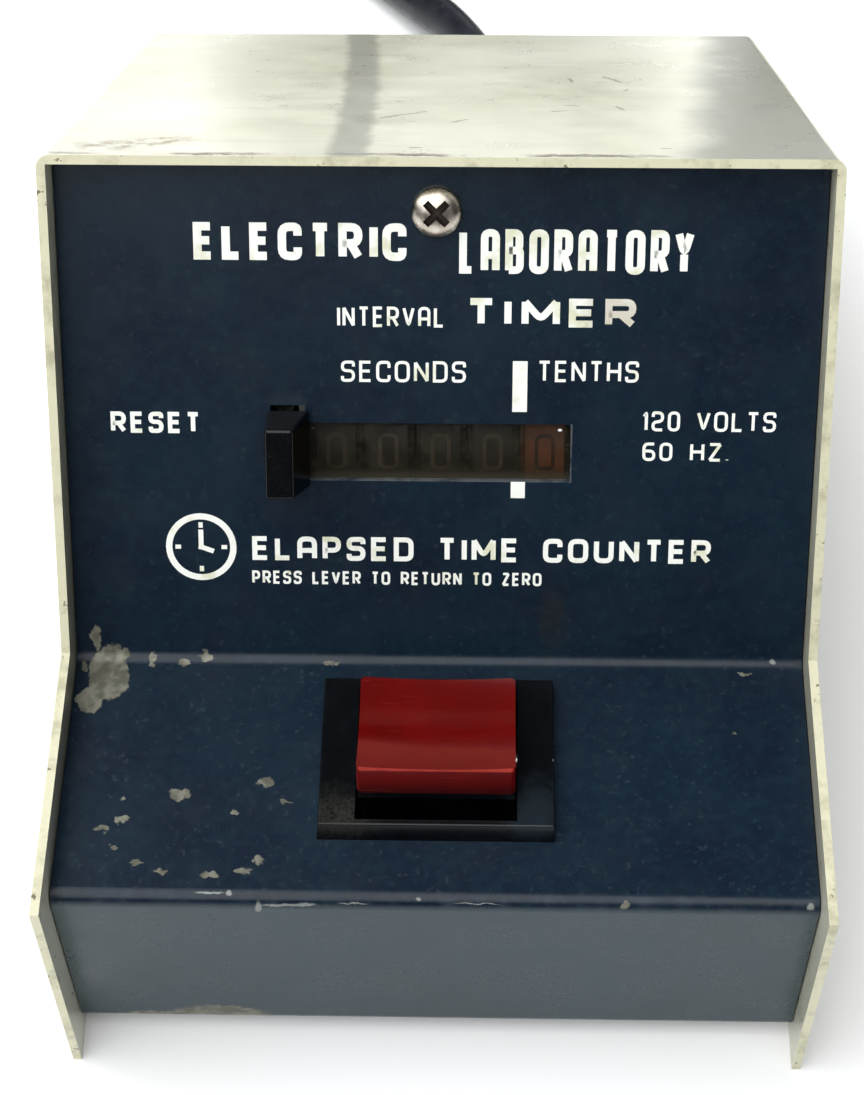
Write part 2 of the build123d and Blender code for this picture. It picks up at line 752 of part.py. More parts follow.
with BuildPart() as switch_body:
    with BuildSketch(switch_plane(-wall_drop)):
        RectangleRounded(opening_width + 2 * wall_x, opening_length + 2 * wall_y, 1.0)
    extrude(amount=-(body_drop - wall_drop))
write(switch_body.part, "switch_body")

terminal_spots = [(-6.0, -5.0), (6.0, -5.0), (-6.0, 5.0), (6.0, 5.0)]
with BuildPart() as switch_terminals:
    with BuildSketch(switch_plane(-body_drop)):
        with Locations(*terminal_spots):
            Rectangle(4.7, 0.8)
    extrude(amount=-8.0)
write(switch_terminals.part, "switch_terminals")

with BuildPart() as switch_clips:
    for side in (-1, 1):
        clip_root = side * (opening_width / 2 + wall_x)
        clip_start = (switch_x, switch_y + 4, ledge_z - chassis_sheet)
        with BuildSketch(Plane(origin=clip_start, x_dir=(1, 0, 0), z_dir=(0, -1, 0))):
            with BuildLine():
                Polyline((clip_root, -8), (clip_root + side * 1.3, 0), (clip_root, 0), close=True)
            make_face()
        extrude(amount=8)
write(switch_clips.part, "switch_clips")

# ================================================================ supply cord
boot_turn, boot_length, boot_droop = 21.5, 21.0, 22.0
boot_tip_radius = 4.7
gland_face = rear_wall_y + 2.0
boot_radius = boot_length / math.radians(boot_turn)
bend_x, bend_z = -math.cos(math.radians(boot_droop)), -math.sin(math.radians(boot_droop))


def boot_point(turn):
    """A point of the boot's middle line, after so many degrees of its bend."""
    angle = math.radians(turn)
    aside, along = boot_radius * (1 - math.cos(angle)), boot_radius * math.sin(angle)
    return Vector(cord_exit_x + bend_x * aside, gland_face + along, cord_exit_z + bend_z * aside)


def boot_heading(turn):
    """The direction of the boot's middle line there."""
    angle = math.radians(turn)
    return Vector(bend_x * math.sin(angle), math.cos(angle), bend_z * math.sin(angle))


gland_plane = Plane(origin=(cord_exit_x, rear_wall_y, cord_exit_z), x_dir=(-1, 0, 0), z_dir=(0, 1, 0))
gland_back = chassis_sheet + 1.4
with BuildPart() as strain_relief:
    with BuildSketch(gland_plane.offset(-gland_back)):
        Circle(6.2)
    extrude(amount=gland_back - chassis_sheet)
    with BuildSketch(gland_plane.offset(-chassis_sheet)):
        Circle(gland_radius)
    extrude(amount=chassis_sheet)
    with BuildSketch(gland_plane):
        Circle(6.5)
    extrude(amount=2.0)
    with BuildLine() as boot_line:
        ThreePointArc(boot_point(0), boot_point(boot_turn / 2), boot_point(boot_turn))
    with BuildSketch(Plane(origin=boot_point(0), z_dir=boot_heading(0))):
        Circle(6.0)
    with BuildSketch(Plane(origin=boot_point(boot_turn), z_dir=boot_heading(boot_turn))):
        Circle(boot_tip_radius)
    sweep(path=boot_line.line, multisection=True)
write(strain_relief.part, "strain_relief")


def corner_radii(points):
    """The largest tangent arc that each corner's two runs allow, at 0.45 of the shorter run."""
    places = [Vector(*point) for point in points]
    radii = []
    for before, corner, after in zip(places, places[1:], places[2:]):
        arriving, leaving = corner - before, after - corner
        turn = math.radians(arriving.get_angle(leaving))
        radii.append(0.45 * min(arriving.length, leaving.length) / math.tan(turn / 2))
    return radii


def round_tube(name, points, radius, radii=None):
    """A round tube along straight runs joined by tangent arcs."""
    radii = radii or corner_radii(points)
    with BuildPart() as tube:
        with BuildLine():
            route = FilletPolyline(*points, radius=radii)
        with BuildSketch(Plane(origin=route @ 0, z_dir=route % 0)):
            Circle(radius)
        sweep(path=route)
    write(tube.part, name)
    share = tube.part.volume / (math.pi * radius**2 * route.length)
    print(name, "length", round(route.length, 1), "radii", [round(r, 1) for r in radii], round(share, 4))
    return route.length


start = boot_point(boot_turn)
cord_route = [
    (start.X, start.Y, start.Z),
    (1.3, 121.3, 8.6),
    (-8.3, 133.8, 5.9),
    (-21.7, 148.6, 4.5),
    (-41.5, 171.1, 3.83),
]
tail_route = [
    (15.1, 254.2, 11.4),
    (33.1, 247.8, 11.0),
    (50.2, 235.8, 10.4),
    (62.9, 219.2, 10.0),
    (68.1, 199.1, 10.0),
]
tube_length = round_tube("cord_tube", cord_route, cord_radius)
tail_length = round_tube("cord_tail", tail_route, cord_radius)

with BuildPart() as cord_coil:
    coil_height = coil_layers * cord_diameter
    coil_foot = 0.03
    with BuildSketch(Plane.XY.offset(coil_foot)):
        with Locations(coil_centre):
            Circle(outer_turn_radius + cord_radius)
            Circle(inner_turn_radius - cord_radius, mode=Mode.SUBTRACT)
    extrude(amount=coil_height)
    fillet(cord_coil.edges(), cord_radius * 0.9)
write(cord_coil.part, "cord_coil")
coil_length = coil_turns * math.pi * (inner_turn_radius + outer_turn_radius)
print("cord length", round(tube_length + tail_length + coil_length + boot_length))

plug_end = Vector(*tail_route[-1])
plug_heading = plug_end - Vector(*tail_route[-2])
plug_heading = Vector(plug_heading.X, plug_heading.Y, 0).normalized()
plug_plane = Plane(origin=plug_end, x_dir=(-plug_heading.Y, plug_heading.X, 0), z_dir=plug_heading)
plug_width, plug_height, plug_neck, plug_length = 27.0, 19.6, 14.0, 34.0
with BuildPart() as plug_body:
    with BuildSketch(plug_plane):
        Circle(5.6)
    with BuildSketch(plug_plane.offset(plug_neck)):
        RectangleRounded(plug_width, plug_height, 5.0)
    loft()
    with BuildSketch(plug_plane.offset(plug_neck)):
        RectangleRounded(plug_width, plug_height, 5.0)
    extrude(amount=plug_length - plug_neck)
write(plug_body.part, "plug_body")

blade_gap, blade_width, blade_sheet, blade_length = 12.7, 6.35, 1.5, 17.5
blade_offset, earth_pin_offset, earth_pin_radius = 4.0, -7.9, 2.4
with BuildPart() as plug_blades:
    with BuildSketch(plug_plane.offset(plug_length)):
        with Locations((blade_offset, blade_gap / 2), (blade_offset, -blade_gap / 2)):
            Rectangle(blade_width, blade_sheet)
        with Locations((earth_pin_offset, 0)):
            Circle(earth_pin_radius)
    extrude(amount=blade_length)
write(plug_blades.part, "plug_blades")

# ================================================================ wiring inside the case
stub_front, stub_back = 66.0, rear_wall_y - gland_back
wire_radius = 0.95
with BuildPart() as cord_stub:
    with BuildSketch(Plane.XZ.offset(-stub_front)):
        with Locations((cord_exit_x, cord_exit_z)):
            Circle(cord_radius)
    extrude(amount=stub_front - stub_back)
write(cord_stub.part, "cord_stub")

floor_z = bottom_gap + chassis_sheet
terminal_y = switch_y + terminal_spots[2][1] + 0.4
terminal_z = ledge_z - body_drop - 4.5
can_y, can_z = panel_point(wheel_up, motor_depth)
can_entry = can_z - can_radius + 0.4
ground_x, ground_y = -22.0, 40.0
bends = 8.0
round_tube(
    "line_wire",
    [
        (cord_exit_x - 1.6, stub_front, cord_exit_z - 1.0),
        (5.0, 30.0, 8.0),
        (-4.0, -20.0, 8.0),
        (switch_x - 6.0, terminal_y, terminal_z),
    ],
    wire_radius,
    [bends] * 2,
)
round_tube(
    "switched_wire",
    [
        (switch_x + 6.0, terminal_y, terminal_z),
        (14.0, -34.0, 8.0),
        (33.0, can_y, 8.0),
        (33.0, can_y, can_entry),
    ],
    wire_radius,
    [bends] * 2,
)
round_tube(
    "neutral_wire",
    [
        (cord_exit_x + 1.6, stub_front, cord_exit_z - 1.0),
        (28.0, 36.0, 8.0),
        (41.0, can_y, 8.0),
        (41.0, can_y, can_entry),
    ],
    wire_radius,
    [bends] * 2,
)
round_tube(
    "ground_wire",
    [
        (cord_exit_x, stub_front, cord_exit_z + 1.8),
        (0.0, 52.0, 9.0),
        (-10.0, ground_y, floor_z + 1.4),
        (ground_x + 7.0, ground_y, floor_z + 1.4),
    ],
    wire_radius,
    [bends] * 2,
)

lug_sheet, lug_radius = 0.8, 3.6
with BuildPart() as ground_stud:
    with BuildSketch(Plane.XY.offset(floor_z)):
        with Locations((ground_x, ground_y)):
            Circle(thread_radius)
    extrude(amount=8.0)
write(ground_stud.part, "ground_stud")

with BuildPart() as ground_lug:
    with BuildSketch(Plane.XY.offset(floor_z)):
        with Locations((ground_x, ground_y)):
            Circle(lug_radius)
        with Locations((ground_x + 3.5, ground_y)):
            Rectangle(7.0, 3.0)
        with Locations((ground_x, ground_y)):
            Circle(thread_radius, mode=Mode.SUBTRACT)
    extrude(amount=lug_sheet)
    with BuildSketch(Plane.YZ.offset(ground_x + 4.4)):
        with Locations((ground_y, floor_z + 1.4)):
            Circle(1.4)
    extrude(amount=2.6)
write(ground_lug.part, "ground_lug")

with BuildPart() as ground_nut:
    with BuildSketch(Plane.XY.offset(floor_z + lug_sheet)):
        with Locations((ground_x, ground_y)):
            RegularPolygon(3.6, 6)
            Circle(thread_radius, mode=Mode.SUBTRACT)
    extrude(amount=2.4)
write(ground_nut.part, "ground_nut")
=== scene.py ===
import json
import math

import bpy
from mathutils import Matrix, Vector


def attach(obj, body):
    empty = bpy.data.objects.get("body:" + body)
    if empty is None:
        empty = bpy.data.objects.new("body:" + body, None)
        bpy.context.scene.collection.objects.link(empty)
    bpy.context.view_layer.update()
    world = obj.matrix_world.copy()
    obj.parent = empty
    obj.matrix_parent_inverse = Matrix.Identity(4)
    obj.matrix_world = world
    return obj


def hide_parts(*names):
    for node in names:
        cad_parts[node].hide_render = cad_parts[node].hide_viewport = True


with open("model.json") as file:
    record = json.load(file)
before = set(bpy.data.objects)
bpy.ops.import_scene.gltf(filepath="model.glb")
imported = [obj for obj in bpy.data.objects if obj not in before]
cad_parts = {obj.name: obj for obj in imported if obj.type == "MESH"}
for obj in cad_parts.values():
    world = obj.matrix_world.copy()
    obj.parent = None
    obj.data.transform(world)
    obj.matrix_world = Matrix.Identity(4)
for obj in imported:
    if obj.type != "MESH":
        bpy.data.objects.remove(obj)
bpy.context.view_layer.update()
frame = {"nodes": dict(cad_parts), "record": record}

# A mains laboratory timer. Lengths are metres in the CAD frame, and millimetres where a name says mm.
MM = 0.001

# ---------------------------------------------------------------- places on the case
LEAN = math.radians(35.0)
PANEL_FOOT_Y, PANEL_FOOT_Z = -46.2576, 41.2  # mm, where the sloping panel meets the ledge
PANEL_UP = Vector((0, math.sin(LEAN), math.cos(LEAN)))
PANEL_OUT = Vector((0, -math.cos(LEAN), math.sin(LEAN)))
PANEL_FOOT = Vector((0, PANEL_FOOT_Y, PANEL_FOOT_Z))
NOSE_Y = -85.81  # mm, the front face of the chassis
WINDOW_LOW, WINDOW_RIGHT = 27.42, 18.5  # mm up the panel and across, two edges of the window
LEDGE_Z = PANEL_FOOT_Z
TOP_OUT = PANEL_UP  # the sloping top faces along the panel's rise


def on_panel(x, up, out=0.0):
    """A point in mm: x across, up the panel from the ledge, out from its surface."""
    return PANEL_FOOT + PANEL_UP * up + PANEL_OUT * out + Vector((x, 0, 0))


def tone(red, green, blue):
    """A display colour of 0 to 255 as the linear colour that shaders take."""
    return tuple(
        value / 12.92 if value <= 0.04045 else ((value + 0.055) / 1.055) ** 2.4
        for value in (red / 255, green / 255, blue / 255)
    ) + (1.0,)


# ---------------------------------------------------------------- material building
class Finish:
    """One node material. Its methods add nodes and give back their outputs."""

    def __init__(self, name):
        self.material = bpy.data.materials.new(name)
        self.material.use_nodes = True
        self.tree = self.material.node_tree
        self.shader = self.tree.nodes["Principled BSDF"]
        place = self.tree.nodes.new("ShaderNodeTexCoord").outputs["Object"]
        self.mm = self.vector("SCALE", place, scale=1000.0)
        self.normal = self.tree.nodes.new("ShaderNodeNewGeometry").outputs["Normal"]
        self.bumps = None

    def feed(self, socket, value):
        if isinstance(value, bpy.types.NodeSocket):
            self.tree.links.new(value, socket)
        else:
            socket.default_value = value

    def vector(self, operation, first, second=None, scale=None):
        node = self.tree.nodes.new("ShaderNodeVectorMath")
        node.operation = operation
        self.feed(node.inputs[0], first)
        if second is not None:
            self.feed(node.inputs[1], second)
        if scale is not None:
            node.inputs["Scale"].default_value = scale
        return node.outputs["Value" if operation in ("DOT_PRODUCT", "LENGTH") else "Vector"]

    def math(self, operation, first, second=0.0):
        node = self.tree.nodes.new("ShaderNodeMath")
        node.operation = operation
        self.feed(node.inputs[0], first)
        self.feed(node.inputs[1], second)
        return node.outputs[0]

    def times(self, first, *others):
        for other in others:
            first = self.math("MULTIPLY", first, other)
        return first

    def most(self, first, *others):
        for other in others:
            first = self.math("MAXIMUM", first, other)
        return first

    def step(self, value, low, high):
        """0 at low and 1 at high, or falling where low is the larger."""
        node = self.tree.nodes.new("ShaderNodeMapRange")
        node.interpolation_type = "SMOOTHSTEP"
        self.feed(node.inputs["Value"], value)
        turned = low > high
        node.inputs["From Min"].default_value = high if turned else low
        node.inputs["From Max"].default_value = low if turned else high
        node.inputs["To Min"].default_value = 1.0 if turned else 0.0
        node.inputs["To Max"].default_value = 0.0 if turned else 1.0
        return node.outputs["Result"]

    def mix(self, share, first, second):
        node = self.tree.nodes.new("ShaderNodeMix")
        node.data_type = "RGBA"
        self.feed(node.inputs["Factor"], share)
        self.feed(node.inputs[6], first)
        self.feed(node.inputs[7], second)
        return node.outputs[2]

    def noise(self, size, detail=3.0, stretch=(1, 1, 1), rough=0.55, shift=0.0):
        """Noise of about 0.5 with features size mm across, drawn out by stretch on each axis."""
        place = self.vector(
            "MULTIPLY", self.mm, tuple(1.0 / (size * factor) for factor in stretch)
        )
        node = self.tree.nodes.new("ShaderNodeTexNoise")
        self.feed(node.inputs["Vector"], self.vector("ADD", place, (shift, shift * 0.7, -shift)))
        node.inputs["Scale"].default_value = 1.0
        node.inputs["Detail"].default_value = detail
        node.inputs["Roughness"].default_value = rough
        return node.outputs["Factor" if "Factor" in node.outputs else 0]

    def specks(self, size, radius, shift=0.0):
        """1 inside small dots that are scattered about one in each cell of size mm."""
        place = self.vector("ADD", self.vector("SCALE", self.mm, scale=1.0 / size), (shift,) * 3)
        node = self.tree.nodes.new("ShaderNodeTexVoronoi")
        node.inputs["Scale"].default_value = 1.0
        self.feed(node.inputs["Vector"], place)
        return self.step(node.outputs["Distance"], radius, radius * 0.6)

    def spot(self, centre, radii, ragged=0.45, grain=1.6, soft=0.12, shift=0.0):
        """1 inside a ragged spot at centre, mm, with these radii."""
        offset = self.vector("SUBTRACT", self.mm, tuple(centre))
        scaled = self.vector("MULTIPLY", offset, tuple(1.0 / radius for radius in radii))
        reach = self.vector("LENGTH", scaled)
        wobble = self.math("SUBTRACT", self.noise(grain, 4.0, rough=0.65, shift=shift), 0.5)
        reach = self.math("ADD", reach, self.math("MULTIPLY", wobble, ragged * 4))
        return self.step(reach, 1.0 + soft, 1.0 - soft)

    def warped(self, size, reach):
        """The place in mm, pushed up to about reach mm aside by noise, so that shapes turn ragged."""
        node = self.tree.nodes.new("ShaderNodeTexNoise")
        self.feed(node.inputs["Vector"], self.vector("SCALE", self.mm, scale=1.0 / size))
        node.inputs["Scale"].default_value = 1.0
        node.inputs["Detail"].default_value = 4.0
        node.inputs["Roughness"].default_value = 0.6
        push = self.vector("SUBTRACT", node.outputs["Color"], (0.5, 0.5, 0.5))
        return self.vector("ADD", self.mm, self.vector("SCALE", push, scale=reach * 4))

    def spots(self, places, where, soft=0.12):
        """1 inside any of the spots, each a centre and radii in mm, at the place given by where."""
        nearest = 9.0  # farther than any spot reaches
        for centre, radii in places:
            node = self.tree.nodes.new("ShaderNodeVectorMath")
            node.operation = "MULTIPLY_ADD"
            self.feed(node.inputs[0], where)
            node.inputs[1].default_value = tuple(1.0 / radius for radius in radii)
            node.inputs[2].default_value = tuple(-c / radius for c, radius in zip(centre, radii))
            reach = self.vector("LENGTH", node.outputs["Vector"])
            nearest = self.math("MINIMUM", nearest, reach)
        return self.step(nearest, 1.0 + soft, 1.0 - soft)

    def dash(self, x, back, angle, length, shift=0):
        """1 along a short ragged scratch on the top plate."""
        turn = math.radians(angle)
        way = Vector((math.cos(turn), 0, 0)) + TOP_BACK_WAY * math.sin(turn)
        side = way.cross(TOP_OUT)
        centre = on_top_plate(x, back)
        wobble = self.math("SUBTRACT", self.noise(1.2, 3.0, shift=30.0 + shift), 0.5)
        offside = self.math("ADD", self.along(side, centre), self.math("MULTIPLY", wobble, 0.9))
        near = self.step(self.math("ABSOLUTE", offside), 0.34, 0.16)
        reach = self.math("ABSOLUTE", self.along(way, centre))
        return self.times(near, self.step(reach, length / 2 + 0.3, length / 2 - 0.3))

    def axis(self, index):
        node = self.tree.nodes.new("ShaderNodeSeparateXYZ")
        self.feed(node.inputs[0], self.mm)
        return node.outputs[index]

    def facing(self, direction):
        return self.vector("DOT_PRODUCT", self.normal, tuple(direction))

    def along(self, direction, origin=(0, 0, 0)):
        offset = self.vector("SUBTRACT", self.mm, tuple(origin))
        return self.vector("DOT_PRODUCT", offset, tuple(direction))

    def bump(self, height, depth_mm):
        """Adds relief; depth_mm is how high a height of 1 stands."""
        node = self.tree.nodes.new("ShaderNodeBump")
        node.inputs["Strength"].default_value = 1.0
        node.inputs["Distance"].default_value = depth_mm * MM
        self.feed(node.inputs["Height"], height)
        if self.bumps is not None:
            self.feed(node.inputs["Normal"], self.bumps)
        self.bumps = node.outputs["Normal"]

    def finish(self, **sockets):
        for name, value in sockets.items():
            self.feed(self.shader.inputs[name.replace("_", " ")], value)
        if self.bumps is not None:
            self.feed(self.shader.inputs["Normal"], self.bumps)
        return self.material


# ---------------------------------------------------------------- metals
TOP_FRONT = Vector((0, -7.96, 104.79))  # mm, the middle of the top's front edge
TOP_BACK_WAY = Vector((0, math.cos(LEAN), -math.sin(LEAN)))
# dark scratches on the top plate: x and distance back in mm, angle in degrees, length in mm
TOP_MARKS = [
    (16.8, 38.0, 20, 2.6),
    (18.9, 43.0, -15, 2.2),
    (26.1, 69.0, 115, 6.5),
    (25.9, 41.0, 110, 3.2),
    (27.7, 58.0, 60, 1.6),
    (2.3, 29.0, 50, 3.4),
    (-6.0, 34.0, 42, 9.0),
    (30.5, 7.5, 5, 1.4),
    (19.5, 68.0, 95, 4.0),
    (52.6, 114.0, 0, 1.2),
    (-3.4, 7.0, 10, 1.8),
    (-24.1, 41.5, 20, 1.6),
]


def on_top_plate(x, back):
    """A point in mm on the sloping top, that far back from its front edge."""
    return TOP_FRONT + TOP_BACK_WAY * back + Vector((x, 0, 0))


def cover_metal():
    """Bare sheet steel: an even warm silver, with pale painted edges, stains and scratches, a painted
    grey reflection band and a darker painted reflection to the right on the top, and painted shade at
    the top's left end and on the sides.
    """
    f = Finish("cover_metal")
    cloud = f.step(f.noise(34, 3.0, shift=3.1), 0.3, 0.7)
    base = f.mix(cloud, tone(228, 227, 204), tone(244, 243, 224))
    drag = f.noise(1.6, 4.0, stretch=(16.0, 1.0, 1.0), shift=9.0)
    base = f.mix(f.times(f.step(drag, 0.5, 0.8), 0.25), base, tone(178, 178, 160))
    on_top = f.step(f.facing(TOP_OUT), 0.9, 0.97)
    down = f.along(TOP_BACK_WAY, TOP_FRONT)  # mm back from the front edge

    # brown bloom near the front left corner and a broken dark line behind the front edge
    streak = f.along((0.86, 0.42, -0.29), TOP_FRONT)
    across = f.math("ABSOLUTE", f.along((-0.50, 0.71, -0.50), on_top_plate(-37.5, 12.0)))
    bloom = f.times(f.step(across, 5.5, 1.0), f.step(streak, -42, -36), f.step(streak, -20, -27))
    bloom = f.times(bloom, f.step(f.noise(2.6, 6.0, rough=0.72), 0.42, 0.62), 0.85)
    broken = f.step(f.noise(6, 5.0, stretch=(2.4, 1, 1), rough=0.65, shift=1.7), 0.45, 0.60)
    ragged = f.math("ADD", down, f.math("MULTIPLY", f.noise(1.4, 4.0, shift=2.6), 2.6))
    grime = f.times(f.step(ragged, 4.6, 3.4), f.step(ragged, 1.6, 2.4), broken, 0.8)
    haze = f.times(f.step(down, 26, 4), f.step(f.axis(0), -26, -46), 0.35)
    haze = f.times(haze, f.step(f.noise(5, 5.0, rough=0.7, shift=4.4), 0.4, 0.65))
    base = f.mix(f.times(haze, on_top), base, tone(150, 146, 130))
    base = f.mix(f.times(bloom, on_top), base, tone(150, 122, 92))
    base = f.mix(f.times(grime, on_top), base, tone(92, 80, 64))

    # a painted grey reflection band from front to back, and a painted darker reflection towards the
    # right
    bow = f.math("MULTIPLY", f.math("POWER", f.math("DIVIDE", down, 118.0), 2.0), -3.4)
    middle = f.math("SUBTRACT", bow, 12.4)
    aside = f.math("ABSOLUTE", f.math("SUBTRACT", f.axis(0), middle))
    feather = f.math("MULTIPLY", f.math("SUBTRACT", f.noise(5, 4.0, shift=5.5), 0.5), 2.4)
    reflection_band = f.step(f.math("ADD", aside, feather), 3.6, 1.6)
    base = f.mix(f.times(reflection_band, on_top, 0.62), base, tone(146, 147, 136))
    right = f.math("SUBTRACT", f.axis(0), f.math("MULTIPLY", down, 0.10))
    right = f.math("ADD", right, f.math("MULTIPLY", f.noise(26, 3.0, shift=7.7), 9.0))
    dull = f.times(f.step(right, 34.0, 42.0), on_top)
    base = f.mix(f.times(dull, 0.85), base, tone(132, 134, 120))

    # painted shade: the left end of the top is darkened
    left_shade = f.times(f.step(f.axis(0), -28, -54), on_top, 0.42)
    base = f.mix(left_shade, base, tone(176, 176, 154))

    marks = [f.dash(*mark, index) for index, mark in enumerate(TOP_MARKS)]
    scratch = f.most(*marks)
    base = f.mix(f.times(scratch, 0.7), base, tone(88, 86, 74))

    # painted shade: the side faces are coloured greyer than the top
    sideways = f.math("ABSOLUTE", f.facing((1, 0, 0)))
    base = f.mix(f.times(f.step(sideways, 0.9, 0.97), 0.4), base, tone(150, 150, 134))
    flat_side = f.step(sideways, 0.45, 0.3)
    top_facing = f.facing(TOP_OUT)
    edge = f.times(flat_side, f.step(top_facing, 0.93, 0.88), f.step(top_facing, -0.9, -0.75))
    spotted = f.step(f.noise(2.2, 5.0, rough=0.7, shift=21.0), 0.63, 0.67)
    soil = f.step(f.noise(4.4, 5.0, rough=0.7, shift=23.0), 0.45, 0.72)
    painted = f.mix(f.times(soil, 0.6), tone(206, 204, 176), tone(140, 136, 108))
    painted = f.mix(spotted, painted, tone(110, 102, 82))
    base = f.mix(edge, base, painted)
    metallic = f.math("SUBTRACT", 0.40, f.times(edge, 0.34))
    rough = f.math("ADD", 0.27, f.times(f.step(f.noise(9, 4.0, shift=8.0), 0.3, 0.7), 0.08))
    rough = f.math("ADD", rough, f.times(f.most(bloom, grime, edge), 0.2))
    f.bump(drag, 0.0012)
    f.bump(f.noise(34, 2.0, shift=2.0), 0.03)
    return f.finish(Base_Color=base, Metallic=metallic, Roughness=rough)


def plated_steel(name, light, dark, size, rough=0.3):
    """Plated steel with a cloudy bloom and fine marks."""
    f = Finish(name)
    bloom = f.step(f.noise(size, 4.0), 0.35, 0.65)
    base = f.mix(bloom, dark, light)
    mark = f.step(f.noise(size * 0.3, 3.0, stretch=(1, 6, 1), shift=4.0), 0.66, 0.72)
    base = f.mix(f.times(mark, 0.5), base, dark)
    f.bump(f.noise(size * 0.25, 4.0, shift=7.0), 0.01)
    return f.finish(
        Base_Color=base, Metallic=1.0, Roughness=f.math("ADD", rough, f.times(bloom, 0.12))
    )


HEAD_RADIUS, HEAD_HEIGHT, HEAD_RIM = 3.45, 2.3, 0.69  # mm, the front screw's domed head


def screw_steel():
    """Nickel plate, with painted shade darkening the cross recess."""
    f = Finish("screw_steel")
    centre = on_panel(-0.5, 65.8)
    height = f.along(PANEL_OUT, centre)
    distance = f.vector("LENGTH", f.vector("SUBTRACT", f.mm, tuple(centre)))
    square = f.math("SUBTRACT", f.times(distance, distance), f.times(height, height))
    share = f.math("SUBTRACT", 1.0, f.math("DIVIDE", square, HEAD_RADIUS**2))
    dome = f.math("SQRT", f.math("MAXIMUM", share, 0.0))
    dome = f.math("ADD", f.math("MULTIPLY", dome, HEAD_HEIGHT - HEAD_RIM), HEAD_RIM)
    # painted shade: the cross recess is coloured dark brown, and made matt and not metallic
    recess_shade = f.times(
        f.step(f.math("SUBTRACT", dome, height), 0.10, 0.22), f.step(square, 6.6, 5.4)
    )
    bloom = f.step(f.noise(1.6, 4.0), 0.35, 0.7)
    base = f.mix(bloom, tone(176, 166, 154), tone(222, 214, 202))
    base = f.mix(recess_shade, base, tone(38, 26, 18))
    f.bump(f.noise(0.5, 3.0), 0.006)
    rough = f.math("ADD", 0.26, f.times(bloom, 0.10))
    return f.finish(
        Base_Color=base,
        Metallic=f.math("SUBTRACT", 1.0, recess_shade),
        Roughness=f.math("ADD", rough, f.times(recess_shade, 0.4)),
    )


# ---------------------------------------------------------------- enamel
# places where the enamel has gone, to the metal: centre and radii in mm
CORNER_CHIP = [
    ((-47.7, -49.0, 41.4), (2.9, 4.6, 3.0)),
    ((-49.9, -53.6, LEDGE_Z), (1.9, 2.3, 2.0)),
    ((-46.6, -46.6, 42.2), (2.0, 1.3, 1.8)),
    ((-49.8, -44.9, 44.2), (0.7, 1.6, 2.4)),
    ((-51.4, -48.0, LEDGE_Z), (0.6, 0.8, 1.0)),
]
DULL_CHIPS = [
    ((-37.1, -46.9, 41.4), (0.8, 0.8, 0.9)),
    ((-41.6, -46.6, 41.6), (0.5, 1.0, 0.8)),
    ((-33.8, -46.2, 41.7), (1.0, 0.6, 0.8)),
    ((-15.4, -46.9, 41.5), (1.6, 0.4, 0.6)),
    ((44.4, -48.0, LEDGE_Z), (1.1, 0.25, 0.7)),
    ((-35.9, -69.1, LEDGE_Z), (1.5, 1.0, 1.0)),
    ((-23.9, -66.9, LEDGE_Z), (1.2, 0.7, 1.0)),
    ((-43.8, -73.1, LEDGE_Z), (1.0, 0.6, 1.0)),
    ((-46.4, -74.7, LEDGE_Z), (1.1, 0.6, 1.0)),
    ((-43.9, -69.9, LEDGE_Z), (0.4, 0.3, 1.0)),
    ((-28.0, -71.9, LEDGE_Z), (0.6, 0.35, 1.0)),
    ((-21.0, -70.1, LEDGE_Z), (0.7, 0.3, 1.0)),
    ((-44.5, -77.6, LEDGE_Z), (0.5, 0.25, 1.0)),
    ((-41.0, -80.0, LEDGE_Z), (1.1, 0.25, 1.0)),
    ((-37.5, -81.2, LEDGE_Z), (0.9, 0.35, 1.0)),
    ((-30.9, -81.7, LEDGE_Z), (1.4, 0.55, 1.0)),
    ((-26.3, -81.0, LEDGE_Z), (1.0, 0.5, 1.0)),
    ((-24.2, -79.3, LEDGE_Z), (0.7, 0.7, 1.0)),
    ((42.4, -58.0, LEDGE_Z), (0.4, 0.3, 1.0)),
    ((26.0, -85.6, 40.4), (0.8, 1.0, 0.5)),
    ((-32.0, NOSE_Y, 5.0), (7.4, 1.5, 3.4)),
    ((-41.5, NOSE_Y, 4.4), (5.0, 1.5, 2.0)),
]
BRIGHT_CHIPS = [
    ((48.3, -46.2, 41.8), (0.45, 0.35, 0.6)),
    ((-28.0, -84.4, 41.0), (0.38, 0.5, 0.5)),
    ((-30.6, -84.4, 41.0), (2.0, 0.16, 0.5)),
    ((-20.0, -85.6, 40.0), (3.8, 1.0, 0.20)),
    ((-17.4, -85.6, 40.1), (1.2, 1.0, 0.26)),
    ((-24.0, -85.6, 39.4), (0.45, 1.0, 1.1)),
    ((-11.0, -85.6, 40.4), (2.0, 1.0, 0.10)),
    ((6.0, -85.6, 40.5), (3.2, 1.0, 0.07)),
    ((-2.1, -85.2, 41.0), (0.4, 0.5, 0.3)),
    ((51.2, -85.4, 40.6), (0.5, 0.8, 0.5)),
]


